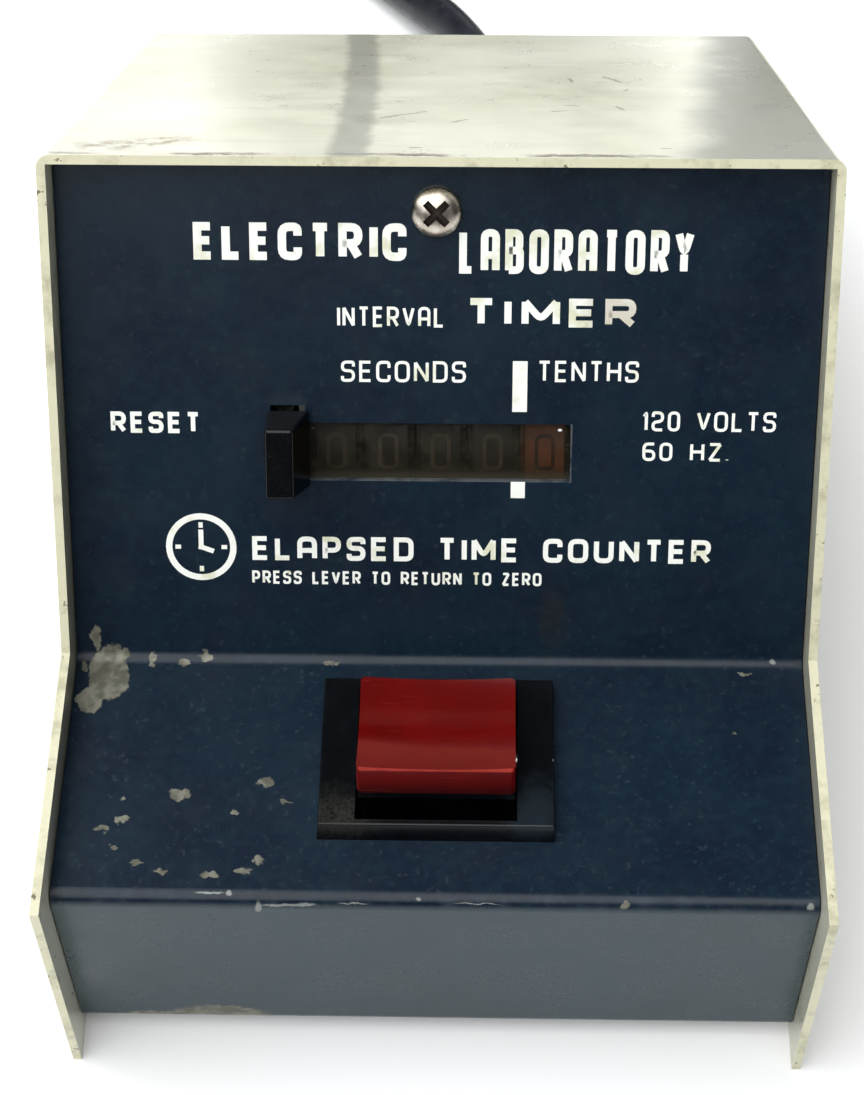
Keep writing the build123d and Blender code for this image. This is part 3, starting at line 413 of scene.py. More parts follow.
def blue_enamel():
    """Dark navy stoving enamel on steel, chipped at the bends and scuffed on the ledge, with a
    painted paler reflection on the faces toward the front and a painted highlight along the front
    bend.
    """
    f = Finish("blue_enamel")
    cloud = f.step(f.noise(18, 4.0, shift=6.0), 0.3, 0.7)
    paint = f.mix(cloud, tone(9, 22, 38), tone(12, 30, 44))
    mottle = f.step(f.noise(1.6, 3.0, shift=11.0), 0.4, 0.7)
    paint = f.mix(f.times(mottle, 0.25), paint, tone(20, 46, 54))
    dust = f.step(f.noise(0.8, 4.0, shift=2.0), 0.58, 0.74)
    low = f.step(f.axis(2), 47, 41)
    paint = f.mix(f.times(dust, f.math("ADD", 0.03, f.times(low, 0.05))), paint, tone(96, 110, 116))

    # painted reflection: faces toward the front are tinted a paler grey-blue
    paint = f.mix(f.times(f.step(f.facing((0, -1, 0)), 0.9, 0.97), 0.25), paint, tone(58, 88, 92))

    corner = f.spots(CORNER_CHIP, f.warped(2.2, 0.8), 0.06)
    near = f.warped(1.1, 0.55)
    bare = f.most(corner, f.spots(DULL_CHIPS, near))
    bright = f.spots(BRIGHT_CHIPS, f.warped(1.6, 0.22), 0.3)
    metal = f.mix(f.step(f.noise(2.0, 4.0), 0.4, 0.6), tone(88, 88, 78), tone(118, 118, 106))
    metal = f.mix(bright, metal, tone(122, 126, 126))

    # the cut edge of the window is bare along its foot and its right side
    up = f.along(PANEL_UP, PANEL_FOOT)
    foot = f.times(
        f.step(f.math("ABSOLUTE", f.math("SUBTRACT", up, WINDOW_LOW)), 0.15, 0.08),
        f.step(f.math("ABSOLUTE", f.axis(0)), 18.8, WINDOW_RIGHT),
    )
    side_gap = f.math("ABSOLUTE", f.math("SUBTRACT", f.axis(0), WINDOW_RIGHT))
    side = f.times(
        f.step(side_gap, 0.16, 0.08), f.step(up, 27.1, 27.4), f.step(up, 36.0, 35.7)
    )
    cut_edge = f.times(f.most(foot, side), f.step(f.axis(1), -20, -24))
    cut_edge = f.times(cut_edge, f.step(f.noise(4.0, 3.0, shift=17.0), 0.25, 0.5), 0.8)

    # along the front bend the paint is rubbed thin and lightened by a painted highlight, with a brown
    # stain low on the panel
    bend_front = f.times(f.step(f.axis(2), 38.9, 40.3), f.step(f.axis(1), -83.6, -85.0))
    rubbed = f.times(bend_front, f.step(f.noise(3.4, 5.0, shift=3.0), 0.45, 0.7), 0.08)
    stain = f.spot(on_panel(16.3, 7.0, 0.0), (2.0, 5.6, 4.4), 0.4, 2.0, 0.5, 31.0)
    paint = f.mix(f.times(stain, 0.3), paint, tone(40, 34, 26))
    paint = f.mix(rubbed, paint, tone(110, 122, 134))
    base = f.mix(f.most(bare, bright), paint, metal)
    base = f.mix(cut_edge, base, tone(88, 92, 94))
    lost = f.most(bare, bright)
    rough = f.math("ADD", 0.27, f.times(dust, 0.12))
    rough = f.math("ADD", rough, f.times(f.step(f.noise(7, 4.0, shift=15.0), 0.4, 0.7), 0.06))
    rough = f.math("ADD", rough, f.times(lost, 0.15))
    f.bump(f.noise(0.9, 3.0, shift=5.0), 0.004)
    f.bump(corner, -0.06)
    return f.finish(
        Base_Color=base, Roughness=rough, Metallic=f.times(lost, 0.3), Specular_IOR_Level=0.28
    )


def lettering_ink():
    """Off-white silk-screen ink, yellowed and rubbed thin in places."""
    f = Finish("lettering_ink")
    patchy = f.step(f.noise(0.6, 5.0, rough=0.7, shift=2.0), 0.69, 0.75)
    thin = f.step(f.noise(5.0, 3.0, shift=8.0), 0.5, 0.7)
    ink = f.mix(thin, tone(240, 243, 236), tone(214, 216, 188))
    rusty = f.spot(on_panel(24.6, 51.4), (4.6, 3.4, 4.0), 0.4, 1.5, 0.6, 1.0)
    ink = f.mix(f.times(rusty, 0.5), ink, tone(150, 132, 96))
    base = f.mix(f.times(patchy, f.math("ADD", 0.12, f.times(thin, 0.4))), ink, tone(52, 66, 84))
    f.bump(f.noise(0.4, 3.0), 0.006)
    return f.finish(Base_Color=base, Roughness=0.55)


# ---------------------------------------------------------------- plastics
def moulded(name, colour, second, size, rough=0.3, grain=0.004, dust_share=0.0, gloss=0.5):
    """Moulded plastic: two close colours clouded together, fine grain and a film of dust."""
    f = Finish(name)
    base = f.mix(f.step(f.noise(size, 4.0), 0.35, 0.65), colour, second)
    dust = f.step(f.noise(size * 0.12, 5.0, rough=0.7, shift=3.0), 0.52, 0.75)
    upward = f.step(f.facing((0, 0, 1)), 0.0, 0.9)
    film = f.times(dust, f.math("ADD", 0.35, f.times(upward, 0.65)))
    base = f.mix(f.times(film, dust_share), base, tone(140, 132, 118))
    scuff = f.step(f.noise(size * 0.4, 4.0, stretch=(5, 1, 1), shift=9.0), 0.6, 0.72)
    f.bump(f.noise(0.35, 3.0, shift=1.0), grain)
    f.bump(f.noise(size * 1.5, 2.0, shift=6.0), grain * 6)
    level = f.math("ADD", rough, f.times(film, 0.25))
    return f.finish(
        Base_Color=base,
        Roughness=f.math("ADD", level, f.times(scuff, 0.08)),
        Specular_IOR_Level=gloss,
    )


def bezel_plastic():
    """Gloss black bezel with a dusty brown film in its front left corner."""
    f = Finish("bezel_plastic")
    base = f.mix(f.step(f.noise(5, 4.0), 0.35, 0.65), tone(4, 6, 9), tone(8, 11, 15))
    patch = f.spot((-13.4, -73.6, 43.6), (4.6, 3.6, 2.0), 0.4, 1.8, 0.7, 3.0)
    film = f.times(patch, f.step(f.noise(0.5, 5.0, rough=0.6), 0.10, 0.90))
    base = f.mix(f.times(film, 0.30), base, tone(62, 62, 46))
    film_right = f.spot((13.6, -73.0, 43.6), (3.6, 4.6, 2.0), 0.4, 1.8, 0.7, 5.0)
    base = f.mix(f.times(film_right, 0.18), base, tone(60, 76, 88))
    lint = f.most(
        f.spot((16.6, -64.2, 43.6), (0.3, 0.3, 0.4), 0.2, 0.5),
        f.times(f.specks(5.0, 0.022, 0.6), 0.2),
    )
    base = f.mix(lint, base, tone(176, 178, 174))
    f.bump(f.noise(0.5, 3.0), 0.003)
    f.bump(f.noise(9.0, 2.0), 0.02)
    rough = f.math("ADD", 0.16, f.times(f.most(film, lint), 0.4))
    return f.finish(Base_Color=base, Roughness=rough, Specular_IOR_Level=0.28)


def red_plastic():
    """Glossy deep red cap, with a painted milky sheen on its rougher front half, a painted highlight
    along the top of the front face and painted shade towards that face's foot.
    """
    f = Finish("red_plastic")
    base = f.mix(f.step(f.noise(6, 3.0), 0.35, 0.65), tone(84, 3, 2), tone(92, 4, 3))
    slant = f.math("ADD", f.axis(1), f.math("MULTIPLY", f.axis(0), 0.08))
    # painted sheen: the upward faces of the front half turn milky red, and rougher
    patchy = f.times(
        f.step(slant, -63.6, -65.4), f.step(f.facing((0, 0, 1)), 0.55, 0.8)
    )
    patchy = f.times(patchy, f.math("ADD", 0.6, f.times(f.noise(5.0, 4.0, shift=2.0), 0.6)))
    base = f.mix(f.times(patchy, 0.30), base, tone(134, 48, 36))
    forward = f.facing((0, -1, 0))
    face = f.step(forward, 0.7, 0.9)
    # painted highlight: a bright red line along the top of the front face
    lip = f.times(face, f.step(f.axis(2), 50.2, 50.55), f.noise(3.0, 3.0, shift=12.0))
    base = f.mix(lip, base, tone(214, 72, 58))
    # painted shade: the front face darkens towards its foot
    base = f.mix(f.times(face, f.step(f.axis(2), 49.5, 45.0), 0.9), base, tone(26, 1, 1))
    hair = f.step(f.noise(0.35, 3.0, stretch=(24, 1, 1), shift=4.0), 0.66, 0.70)
    base = f.mix(f.times(hair, 0.08), base, tone(170, 90, 76))
    f.bump(f.noise(0.6, 3.0), 0.002)
    f.bump(f.noise(12.0, 2.0), 0.03)
    rough = f.math("ADD", 0.17, f.times(patchy, 0.16))
    return f.finish(
        Base_Color=base,
        Roughness=rough,
        Subsurface_Weight=0.03,
        Subsurface_Scale=0.002,
        Specular_IOR_Level=0.28,
    )


def window_plastic():
    """Thin clear acrylic, smoky with old dust, thicker along the cut-out's lower edge, with a painted
    white glint near its upper right corner.
    """
    f = Finish("window_plastic")
    film = f.step(f.noise(3.0, 5.0, rough=0.6, shift=4.0), 0.35, 0.75)
    up = f.along(PANEL_UP, PANEL_FOOT)
    film = f.most(f.times(film, 0.7), f.step(up, 29.4, 27.5))
    # painted glint: a small opaque white spot on the window
    spotted = f.spot(on_panel(16.9, 34.7, -1.0), (0.30, 0.12, 0.8), 0.12, 0.5)
    f.bump(f.noise(7.0, 2.0), 0.02)
    tint = f.mix(film, tone(34, 32, 25), tone(58, 55, 42))
    alpha = f.math("ADD", 0.30, f.times(film, 0.24))
    return f.finish(
        Base_Color=f.mix(spotted, tint, tone(250, 250, 250)),
        Alpha=f.most(alpha, spotted),
        Roughness=f.math("ADD", 0.08, f.times(film, 0.3)),
        Specular_IOR_Level=0.35,
    )


def cord_jacket():
    """Black vinyl: a soft gloss, a faint fine grain, a little grey dust and dull handled patches."""
    f = Finish("cord_jacket")
    base = f.mix(f.step(f.noise(9, 4.0), 0.35, 0.65), tone(17, 19, 26), tone(28, 31, 40))
    dust = f.step(f.noise(0.9, 5.0, rough=0.7, shift=3.0), 0.58, 0.75)
    base = f.mix(f.times(dust, 0.12), base, tone(120, 118, 112))
    f.bump(f.noise(0.8, 4.0), 0.02)
    rough = f.math("ADD", 0.3, f.times(f.step(f.noise(6, 3.0, shift=6.0), 0.4, 0.7), 0.16))
    return f.finish(Base_Color=base, Roughness=rough)


def floor_surface():
    """Matt white board with the faintest tooth."""
    f = Finish("floor")
    base = f.mix(f.noise(60, 3.0), tone(250, 251, 252), tone(253, 254, 254))
    f.bump(f.noise(1.2, 3.0), 0.01)
    return f.finish(Base_Color=base, Roughness=0.8)


FINISHES = {
    "cover_metal": cover_metal(),
    "front_tab_steel": plated_steel("front_tab_steel", tone(200, 198, 186), tone(150, 148, 136), 4.0),
    "blue_enamel": blue_enamel(),
    "screw_steel": screw_steel(),
    "zinc_steel": plated_steel("zinc_steel", tone(196, 196, 190), tone(150, 152, 150), 5.0, 0.35),
    "shaft_steel": plated_steel("shaft_steel", tone(190, 190, 190), tone(150, 150, 152), 2.0, 0.18),
    "window_plastic": window_plastic(),
    "wheel_plastic": moulded(
        "wheel_plastic", tone(30, 28, 23), tone(42, 39, 31), 3.0, 0.45, 0.004, 0.10
    ),
    "tenths_plastic": moulded(
        "tenths_plastic", tone(128, 66, 36), tone(144, 80, 46), 3.0, 0.45, 0.004, 0.10
    ),
    "pinion_nylon": moulded("pinion_nylon", tone(214, 208, 188), tone(198, 190, 168), 3.0, 0.4),
    "brass": plated_steel("brass", tone(214, 180, 104), tone(168, 132, 70), 3.0, 0.25),
    "motor_metal": plated_steel("motor_metal", tone(170, 172, 172), tone(128, 130, 130), 8.0, 0.4),
    "lever_plastic": moulded(
        "lever_plastic", tone(2, 3, 5), tone(5, 6, 8), 2.5, 0.2, 0.001, 0.0, 0.28
    ),
    "comb_steel": plated_steel("comb_steel", tone(180, 180, 178), tone(130, 130, 128), 3.0, 0.3),
    "bezel_plastic": bezel_plastic(),
    "red_plastic": red_plastic(),
    "cord_jacket": cord_jacket(),
    "black_wire": moulded("black_wire", tone(18, 18, 20), tone(28, 28, 30), 4.0, 0.3),
    "white_wire": moulded("white_wire", tone(226, 224, 216), tone(210, 207, 196), 4.0, 0.3),
    "green_wire": moulded("green_wire", tone(34, 110, 58), tone(26, 92, 48), 4.0, 0.3),
}
for row in frame["record"]["subparts"]:
    node = frame["nodes"][row["node"]]
    node.data.materials.clear()
    node.data.materials.append(FINISHES[row["material_slot"]])


# ---------------------------------------------------------------- flat lettering from strokes
# Each glyph is drawn on a unit box: a width, then strokes; a stroke that ends with None is closed.
GLYPHS = {
    "A": (0.92, [[(0, 0), (0, 1), (1, 1), (1, 0)], [(0, 0.4), (1, 0.4)]]),
    "B": (
        0.90,
        [
            [(0, 0, 0), (0, 1, 0), (0.93, 1), (0.93, 0.53), (0, 0.53)],
            [(0.5, 0.53), (1, 0.53), (1, 0), (0, 0)],
        ],
    ),
    "C": (0.90, [[(1, 0.7), (1, 1), (0, 1), (0, 0), (1, 0), (1, 0.3)]]),
    "D": (0.92, [[(0, 0, 0), (0, 1, 0), (1, 1), (1, 0), None]]),
    "E": (0.80, [[(1, 1), (0, 1, 0), (0, 0, 0), (1, 0)], [(0, 0.52), (0.92, 0.52)]]),
    "H": (0.92, [[(0, 0), (0, 1)], [(1, 0), (1, 1)], [(0, 0.52), (1, 0.52)]]),
    "I": (0.0, [[(0, 0), (0, 1)]]),
    "L": (0.78, [[(0, 1), (0, 0, 0), (1, 0)]]),
    "M": (1.12, [[(0, 0), (0, 1)], [(0, 1), (0.5, 0.2), (1, 1)], [(1, 0), (1, 1)]]),
    "N": (0.92, [[(0, 0), (0, 1)], [(0, 1), (1, 0)], [(1, 0), (1, 1)]]),
    "O": (0.94, [[(0, 0), (0, 1), (1, 1), (1, 0), None]]),
    "P": (0.86, [[(0, 0), (0, 1, 0), (1, 1), (1, 0.42), (0, 0.42)]]),
    "R": (0.90, [[(0, 0), (0, 1, 0), (1, 1), (1, 0.45), (0, 0.45)], [(0.5, 0.45), (1, 0)]]),
    "S": (0.88, [[(1, 0.76), (1, 1), (0, 1), (0, 0.53), (1, 0.53), (1, 0), (0, 0), (0, 0.24)]]),
    "T": (0.84, [[(0, 1), (1, 1)], [(0.5, 0), (0.5, 1)]]),
    "U": (0.92, [[(0, 1), (0, 0), (1, 0), (1, 1)]]),
    "V": (0.92, [[(0, 1), (0.5, 0), (1, 1)]]),
    "Y": (0.92, [[(0, 1), (0.5, 0.45), (1, 1)], [(0.5, 0), (0.5, 0.45)]]),
    "Z": (0.86, [[(0, 1), (1, 1, 0)], [(1, 1), (0, 0)], [(0, 0), (1, 0)]]),
    "0": (0.84, [[(0, 0), (0, 1), (1, 1), (1, 0), None]]),
    "1": (0.35, [[(0, 0.78), (1, 1), (1, 0)]]),
    "2": (0.84, [[(0, 0.76), (0, 1), (1, 1), (1, 0.5), (0, 0.45), (0, 0), (1, 0)]]),
    "3": (0.84, [[(0, 1), (1, 1), (1, 0), (0, 0)], [(0.2, 0.52), (1, 0.52)]]),
    "4": (0.84, [[(0, 1), (0, 0.3, 0), (1, 0.3)], [(0.78, 0), (0.78, 1)]]),
    "5": (0.84, [[(1, 1), (0, 1), (0, 0.56), (1, 0.56), (1, 0), (0, 0)]]),
    "6": (0.84, [[(1, 1), (0, 1), (0, 0), (1, 0), (1, 0.55), (0, 0.55)]]),
    "7": (0.84, [[(0, 1), (1, 1), (0.35, 0)]]),
    "8": (0.84, [[(0, 0), (0, 1), (1, 1), (1, 0), None], [(0, 0.52), (1, 0.52)]]),
    "9": (0.84, [[(0, 0), (1, 0), (1, 1), (0, 1), (0, 0.45), (1, 0.45)]]),
    ".": (0.0, [[(0, 0), (0, 0.04)]]),
}


def rounded(points, square, radius, closed):
    """A stroke's corners turned into short arcs, apart from the square ones."""
    count = len(points)
    path = []
    for index, corner in enumerate(points):
        if square[index] or (not closed and index in (0, count - 1)):
            path.append(corner)
            continue
        before, after = points[index - 1], points[(index + 1) % count]
        into, out = (before - corner), (after - corner)
        cut = min(radius, 0.49 * into.length, 0.49 * out.length)
        start, end = corner + into.normalized() * cut, corner + out.normalized() * cut
        for step in range(5):
            share = step / 4
            path.append(
                start * (1 - share) ** 2 + corner * 2 * share * (1 - share) + end * share**2
            )
    return path


def divided(path, longest, closed):
    """The same path with no run longer than this."""
    ends = path[1:] + ([path[0]] if closed else [])
    fine = []
    for start, end in zip(path, ends):
        parts = max(1, math.ceil((end - start).length / longest))
        fine += [start.lerp(end, part / parts) for part in range(parts)]
    return fine if closed else fine + [path[-1]]


def ribbon(path, width, closed):
    """Left and right points of a stroke of this width, mitred at its corners."""
    sides = []
    count = len(path)
    for index, point in enumerate(path):
        before = path[index - 1] if closed or index else None
        after = path[(index + 1) % count] if closed or index < count - 1 else None
        into = (point - before).normalized() if before is not None else (after - point).normalized()
        out = (after - point).normalized() if after is not None else into
        middle = (into + out).normalized()
        across = Vector((-middle.y, middle.x))
        reach = width / 2 / max(0.5, middle.dot(into))
        sides.append((point + across * reach, point - across * reach))
    return sides


LAYER = 0.004  # mm by which one stroke lies above the last, so that crossings aren't coplanar


def stroke_mesh(strokes, place, thickness, verts, faces):
    """Adds each ribbon as a thin solid; place(x, y, out) puts a flat point in the frame."""
    for number, (sides, closed) in enumerate(strokes):
        first, count = len(verts), len(sides)
        top = thickness + LAYER * (number % 4)
        for left, right in sides:
            for point, out in ((left, 0), (right, 0), (right, top), (left, top)):
                verts.append(place(point.x, point.y, out))
        for index in range(count if closed else count - 1):
            a, b = first + 4 * index, first + 4 * ((index + 1) % count)
            faces += [
                (a, b, b + 1, a + 1),
                (a + 1, b + 1, b + 2, a + 2),
                (a + 2, b + 2, b + 3, a + 3),
                (a + 3, b + 3, b, a),
            ]
        if not closed:
            last = first + 4 * (count - 1)
            faces.append((first, first + 1, first + 2, first + 3))
            faces.append((last + 3, last + 2, last + 1, last))


def glyph_strokes(letter, left, foot, height, width, weight, gap_radius, longest):
    """One letter's ribbons, its outer box starting at left and foot."""
    ribbons = []
    for stroke in GLYPHS[letter][1]:
        closed = stroke[-1] is None
        corners = stroke[:-1] if closed else stroke
        across, rise = width - weight, height - weight
        points = [
            Vector((left + weight / 2 + corner[0] * across, foot + weight / 2 + corner[1] * rise))
            for corner in corners
        ]
        square = [len(corner) == 3 for corner in corners]
        path = divided(rounded(points, square, gap_radius, closed), longest, closed)
        ribbons.append((ribbon(path, weight, closed), closed))
    return ribbons


# widths as shares of a letter's height
WORD_SPACE, LETTER_GAP = 0.62, 0.26
LONGEST_STEP = 2.0  # mm along a stroke


def line_of_text(text, left, right, foot, height, weight, corner):
    """A line of letters spread evenly from left to right, sized by their own widths."""
    shares = [
        WORD_SPACE if letter == " " else max(GLYPHS[letter][0], weight / height) for letter in text
    ]
    gaps = LETTER_GAP * (len(text) - 1)
    unit = (right - left) / (sum(shares) + gaps)
    at, ribbons = left, []
    for letter, share in zip(text, shares):
        if letter != " ":
            width = share * unit
            ribbons += glyph_strokes(
                letter, at, foot, height, width, weight, corner, LONGEST_STEP
            )
        at += (share + LETTER_GAP) * unit
    return ribbons


def solid_bar(x_low, x_high, low, high):
    """A plain upright bar, as one wide stroke."""
    middle, width = (x_low + x_high) / 2, x_high - x_low
    path = divided([Vector((middle, low)), Vector((middle, high))], 1.0, False)
    return [(ribbon(path, width, False), False)]


def ring(centre, radius, weight):
    path = [
        Vector((centre[0] + radius * math.cos(turn), centre[1] + radius * math.sin(turn)))
        for turn in (math.tau * index / 40 for index in range(40))
    ]
    return [(ribbon(path, weight, True), True)]


def new_piece(name, verts, faces, body, finish):
    mesh = bpy.data.meshes.new(name)
    mesh.from_pydata([tuple(v) for v in verts], [], faces)
    mesh.update()
    mesh.materials.append(finish)
    piece = bpy.data.objects.new(name, mesh)
    bpy.context.collection.objects.link(piece)
    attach(piece, body)
    return piece


# ---------------------------------------------------------------- what is printed on the panel
INK_THICKNESS = 0.03  # mm
INK = lettering_ink()


def printed(name, strokes):
    verts, faces = [], []
    stroke_mesh(strokes, lambda x, up, out: on_panel(x, up, out) * MM, INK_THICKNESS, verts, faces)
    return new_piece(name, verts, faces, "case", INK)


def clock_sign():
    """A plain clock face, drawn as a ring with four ticks and two hands."""
    centre, radius = (-34.0, 17.2), 4.6
    strokes = ring(centre, radius, 0.9)
    for quarter in range(4):
        heading = Vector((math.cos(quarter * math.pi / 2), math.sin(quarter * math.pi / 2)))
        ends = [Vector(centre) + heading * 2.9, Vector(centre) + heading * 3.7]
        strokes.append((ribbon(ends, 0.6, False), False))
    for turn, length in ((math.radians(90), 2.6), (math.radians(-20), 1.9)):
        heading = Vector((math.cos(turn), math.sin(turn)))
        ends = [Vector(centre) - heading * 0.35, Vector(centre) + heading * length]
        strokes.append((ribbon(ends, 0.7, False), False))
    return strokes


printed("print_electric", line_of_text("ELECTRIC", -33.8, -4.6, 58.9, 5.2, 1.15, 1.1))
printed("print_laboratory", line_of_text("LABORATORY", 2.6, 34.6, 57.2, 6.2, 1.05, 1.2))
printed("print_interval", line_of_text("INTERVAL", -14.2, 0.6, 49.6, 2.9, 0.42, 0.6))
printed("print_timer", line_of_text("TIMER", 3.7, 27.0, 49.75, 4.05, 0.98, 0.9))
printed("print_seconds", line_of_text("SECONDS", -13.75, 3.65, 41.75, 3.05, 0.42, 0.7))
printed("print_tenths", line_of_text("TENTHS", 13.65, 27.65, 41.95, 3.05, 0.42, 0.7))
printed("print_reset", line_of_text("RESET", -46.2, -33.6, 34.1, 3.1, 0.62, 0.7))
printed("print_volts", line_of_text("120 VOLTS", 28.4, 47.0, 34.95, 2.9, 0.42, 0.65))
printed("print_hertz", line_of_text("60 HZ.", 28.5, 40.5, 30.6, 2.7, 0.42, 0.65))
printed("print_counter", line_of_text("ELAPSED TIME COUNTER", -26.7, 38.7, 15.3, 3.6, 0.72, 0.8))
printed(
    "print_zero", line_of_text("PRESS LEVER TO RETURN TO ZERO", -26.8, 14.7, 11.7, 2.0, 0.36, 0.4)
)
printed("print_clock", clock_sign())
printed("print_decimal_upper", solid_bar(10.15, 12.2, 37.6, 44.9))
printed("print_decimal_lower", solid_bar(10.1, 12.1, 24.95, 27.35))


# ---------------------------------------------------------------- figures on the number wheels
WHEEL_AXIS = on_panel(0, 30.6, -15.4)
WHEEL_RADIUS = 12.0
WHEELS = {
    "tenths_wheel": 14.9,
    "seconds_wheel": 7.5,
    "ten_seconds_wheel": 0.1,
    "hundred_seconds_wheel": -7.3,
    "thousand_seconds_wheel": -14.7,
}
CREAM_INK = moulded("figure_ink_cream", tone(104, 88, 70), tone(84, 72, 58), 1.2, 0.5, 0.002, 0.1)
BROWN_INK = moulded("figure_ink_brown", tone(66, 30, 18), tone(84, 40, 24), 1.2, 0.5, 0.002, 0.1)


def wheel_figures(name, middle):
    """The ten figures round one wheel's rim, wrapped onto it."""
    height, width, weight = 5.4, 2.9, 0.55
    verts, faces = [], []
    for figure in range(10):
        strokes = glyph_strokes(
            str(figure), -width / 2, -height / 2, height, width, weight, 0.9, 0.6
        )
        turn_here = math.radians(90 - 36 * figure)

        def wrapped(x, y, out, turn_here=turn_here):
            turn = turn_here - y / WHEEL_RADIUS
            reach = WHEEL_RADIUS + out
            rise = PANEL_UP * (math.cos(turn) * reach) + PANEL_OUT * (math.sin(turn) * reach)
            return (WHEEL_AXIS + rise + Vector((middle + x, 0, 0))) * MM

        stroke_mesh(strokes, wrapped, 0.03, verts, faces)
    ink = BROWN_INK if name == "tenths_wheel" else CREAM_INK
    new_piece(name + "_figures", verts, faces, name, ink)


for wheel, wheel_middle in WHEELS.items():
    wheel_figures(wheel, wheel_middle)


# ---------------------------------------------------------------- supply cord
CORD_RADIUS = 3.8
ENTRY_POINTS = [
    (6.09, 108.32, 10.54),
    (1.3, 121.3, 8.6),
    (-8.3, 133.8, 5.9),
    (-21.7, 148.6, 4.5),
]
TAIL_POINTS = [
    (33.1, 247.8, 11.0),
    (50.2, 235.8, 10.4),
    (62.9, 219.2, 10.0),
    (68.1, 199.1, 10.0),
]
COIL_MIDDLE = (-2.6, 205.3)
COIL_TURNS = 5.42
COIL_START = 221.3  # degrees, where the cord runs onto the coil
TURN_PITCH = 7.8
POINTS_PER_TURN = 16


def coil_point(turns):
    """The put-away cord winds inwards on the floor, climbs once and winds out again on top."""
    inmost, round_over = 31.23, 0.15
    middle_turn = COIL_TURNS / 2
    reach = inmost + TURN_PITCH * math.hypot(turns - middle_turn, round_over)
    climb = min(max((turns - 2.3) / 0.7, 0.0), 1.0)
    height = CORD_RADIUS + 0.03 + 2 * CORD_RADIUS * climb * climb * (3 - 2 * climb)
    turn = math.radians(COIL_START - 360 * turns)
    return (
        COIL_MIDDLE[0] + reach * math.cos(turn),
        COIL_MIDDLE[1] + reach * math.sin(turn),
        height,
    )


def supply_cord():
    steps = round(COIL_TURNS * POINTS_PER_TURN)
    coil = [coil_point(COIL_TURNS * index / steps) for index in range(steps + 1)]
    points = ENTRY_POINTS + coil + TAIL_POINTS
    curve = bpy.data.curves.new("supply_cord", "CURVE")
    curve.dimensions = "3D"
    curve.resolution_u = 6
    curve.bevel_depth = CORD_RADIUS * MM
    curve.bevel_resolution = 6
    curve.use_fill_caps = True
    spline = curve.splines.new("NURBS")
    spline.points.add(len(points) - 1)
    for target, point in zip(spline.points, points):
        target.co = (point[0] * MM, point[1] * MM, point[2] * MM, 1.0)
    spline.order_u = 3
    spline.use_endpoint_u = True
    curve.materials.append(FINISHES["cord_jacket"])
    cord = bpy.data.objects.new("supply_cord", curve)
    bpy.context.collection.objects.link(cord)
    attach(cord, "case")
    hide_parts("cord_tube", "cord_coil", "cord_tail")
    return cord


supply_cord()


# ---------------------------------------------------------------- floor, lights and camera
def floor():
    side = 6.0
    mesh = bpy.data.meshes.new("floor")
    mesh.from_pydata(
        [(-side, -side, 0), (side, -side, 0), (side, side, 0), (-side, side, 0)], [], [(0, 1, 2, 3)]
    )
    mesh.materials.append(floor_surface())
    board = bpy.data.objects.new("floor", mesh)
    bpy.context.collection.objects.link(board)


def softbox(name, place, aim, width, height, power):
    light = bpy.data.lights.new(name, "AREA")
    light.shape = "RECTANGLE"
    light.size, light.size_y = width, height
    light.energy = power
    box = bpy.data.objects.new(name, light)
    box.location = place
    box.rotation_euler = (Vector(aim) - Vector(place)).to_track_quat("-Z", "Y").to_euler()
    bpy.context.collection.objects.link(box)
    return box


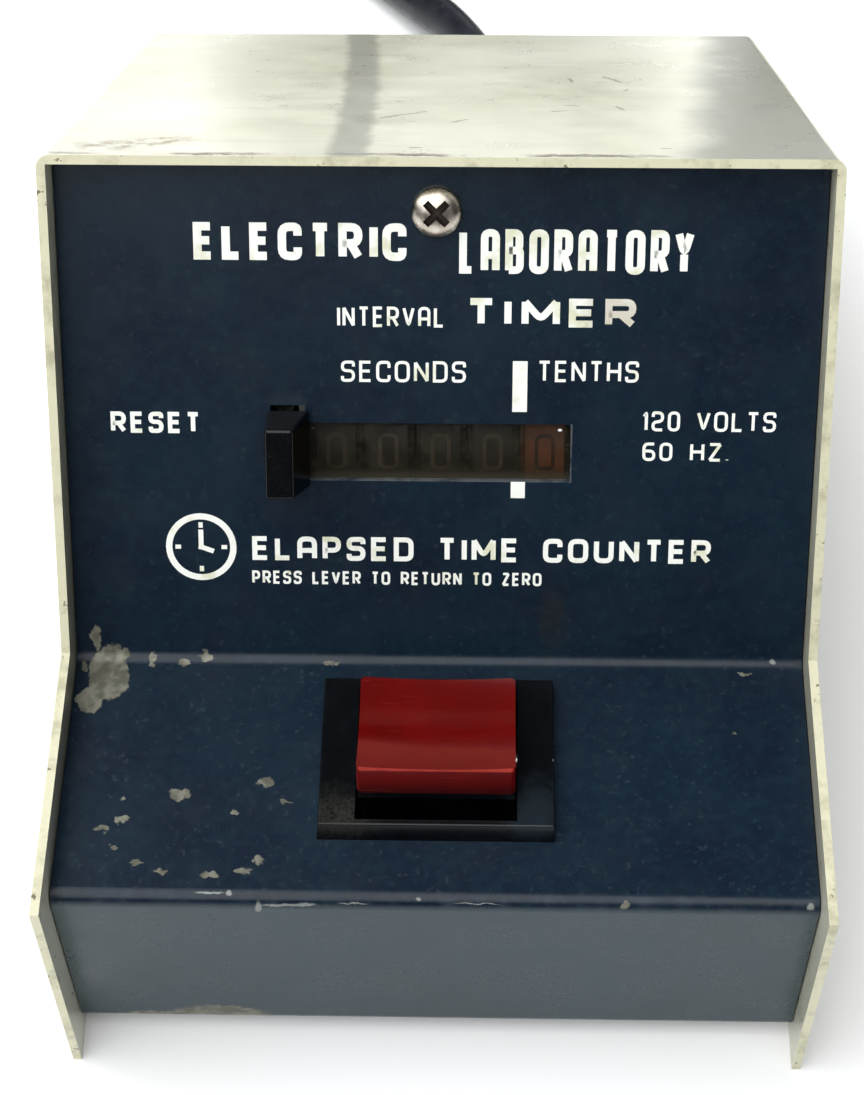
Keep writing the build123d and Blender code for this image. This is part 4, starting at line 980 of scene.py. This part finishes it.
def studio():
    """A ceiling softbox in front, and a world that is pale behind the object near the horizon."""
    world = bpy.data.worlds.new("studio")
    world.use_nodes = True
    tree = world.node_tree
    sky = tree.nodes["Background"]
    sky.inputs["Color"].default_value = (0.95, 0.97, 1.0, 1.0)
    heading = tree.nodes.new("ShaderNodeSeparateXYZ")
    tree.links.new(
        tree.nodes.new("ShaderNodeTexCoord").outputs["Generated"], heading.inputs[0]
    )
    rear, low = (tree.nodes.new("ShaderNodeMapRange") for _ in range(2))
    for node, axis, dark, bright in ((rear, "Y", -0.1, 0.6), (low, "Z", 0.5, 0.12)):
        node.interpolation_type = "SMOOTHSTEP"
        tree.links.new(heading.outputs[axis], node.inputs["Value"])
        node.inputs["From Min"].default_value = min(dark, bright)
        node.inputs["From Max"].default_value = max(dark, bright)
        node.inputs["To Min"].default_value = 0.0 if dark < bright else 1.0
        node.inputs["To Max"].default_value = 1.0 if dark < bright else 0.0
    both = tree.nodes.new("ShaderNodeMath")
    both.operation = "MULTIPLY"
    tree.links.new(rear.outputs["Result"], both.inputs[0])
    tree.links.new(low.outputs["Result"], both.inputs[1])
    strength = tree.nodes.new("ShaderNodeMath")
    strength.operation = "MULTIPLY_ADD"
    tree.links.new(both.outputs[0], strength.inputs[0])
    strength.inputs[1].default_value = 0.85
    strength.inputs[2].default_value = 0.07
    tree.links.new(strength.outputs[0], sky.inputs["Strength"])
    scene = bpy.context.scene
    scene.world = world
    scene.view_settings.view_transform = "Standard"
    softbox("ceiling", (-0.55, -0.5, 1.55), (0, 0.05, 0.05), 2.6, 2.0, 50.0)
    behind = softbox("behind", (-0.5, 1.0, 1.5), (-0.2, 0.6, 0), 2.6, 1.4, 26.0)
    behind.visible_glossy = False


def camera():
    """The photograph's viewpoint: a little left of the middle, looking down at 55 degrees."""
    yaw, dip, roll = math.radians(-2.14), math.radians(55.44), math.radians(1.20)
    sensor, focal_share = 36.0, 2.2628  # focal length over the frame's long side
    data = bpy.data.cameras.new("camera")
    data.sensor_width = sensor
    data.lens = sensor * focal_share
    data.shift_x, data.shift_y = 0.0058, 0.0504
    data.clip_start, data.clip_end = 0.01, 50.0
    eye = bpy.data.objects.new("camera", data)
    turn = Matrix.Rotation(-yaw, 4, "Z") @ Matrix.Rotation(math.pi / 2 - dip, 4, "X")
    eye.matrix_world = (
        Matrix.Translation((0.00566, -0.24319, 0.34218)) @ turn @ Matrix.Rotation(-roll, 4, "Z")
    )
    bpy.context.collection.objects.link(eye)
    bpy.context.scene.camera = eye


floor()
studio()
camera()
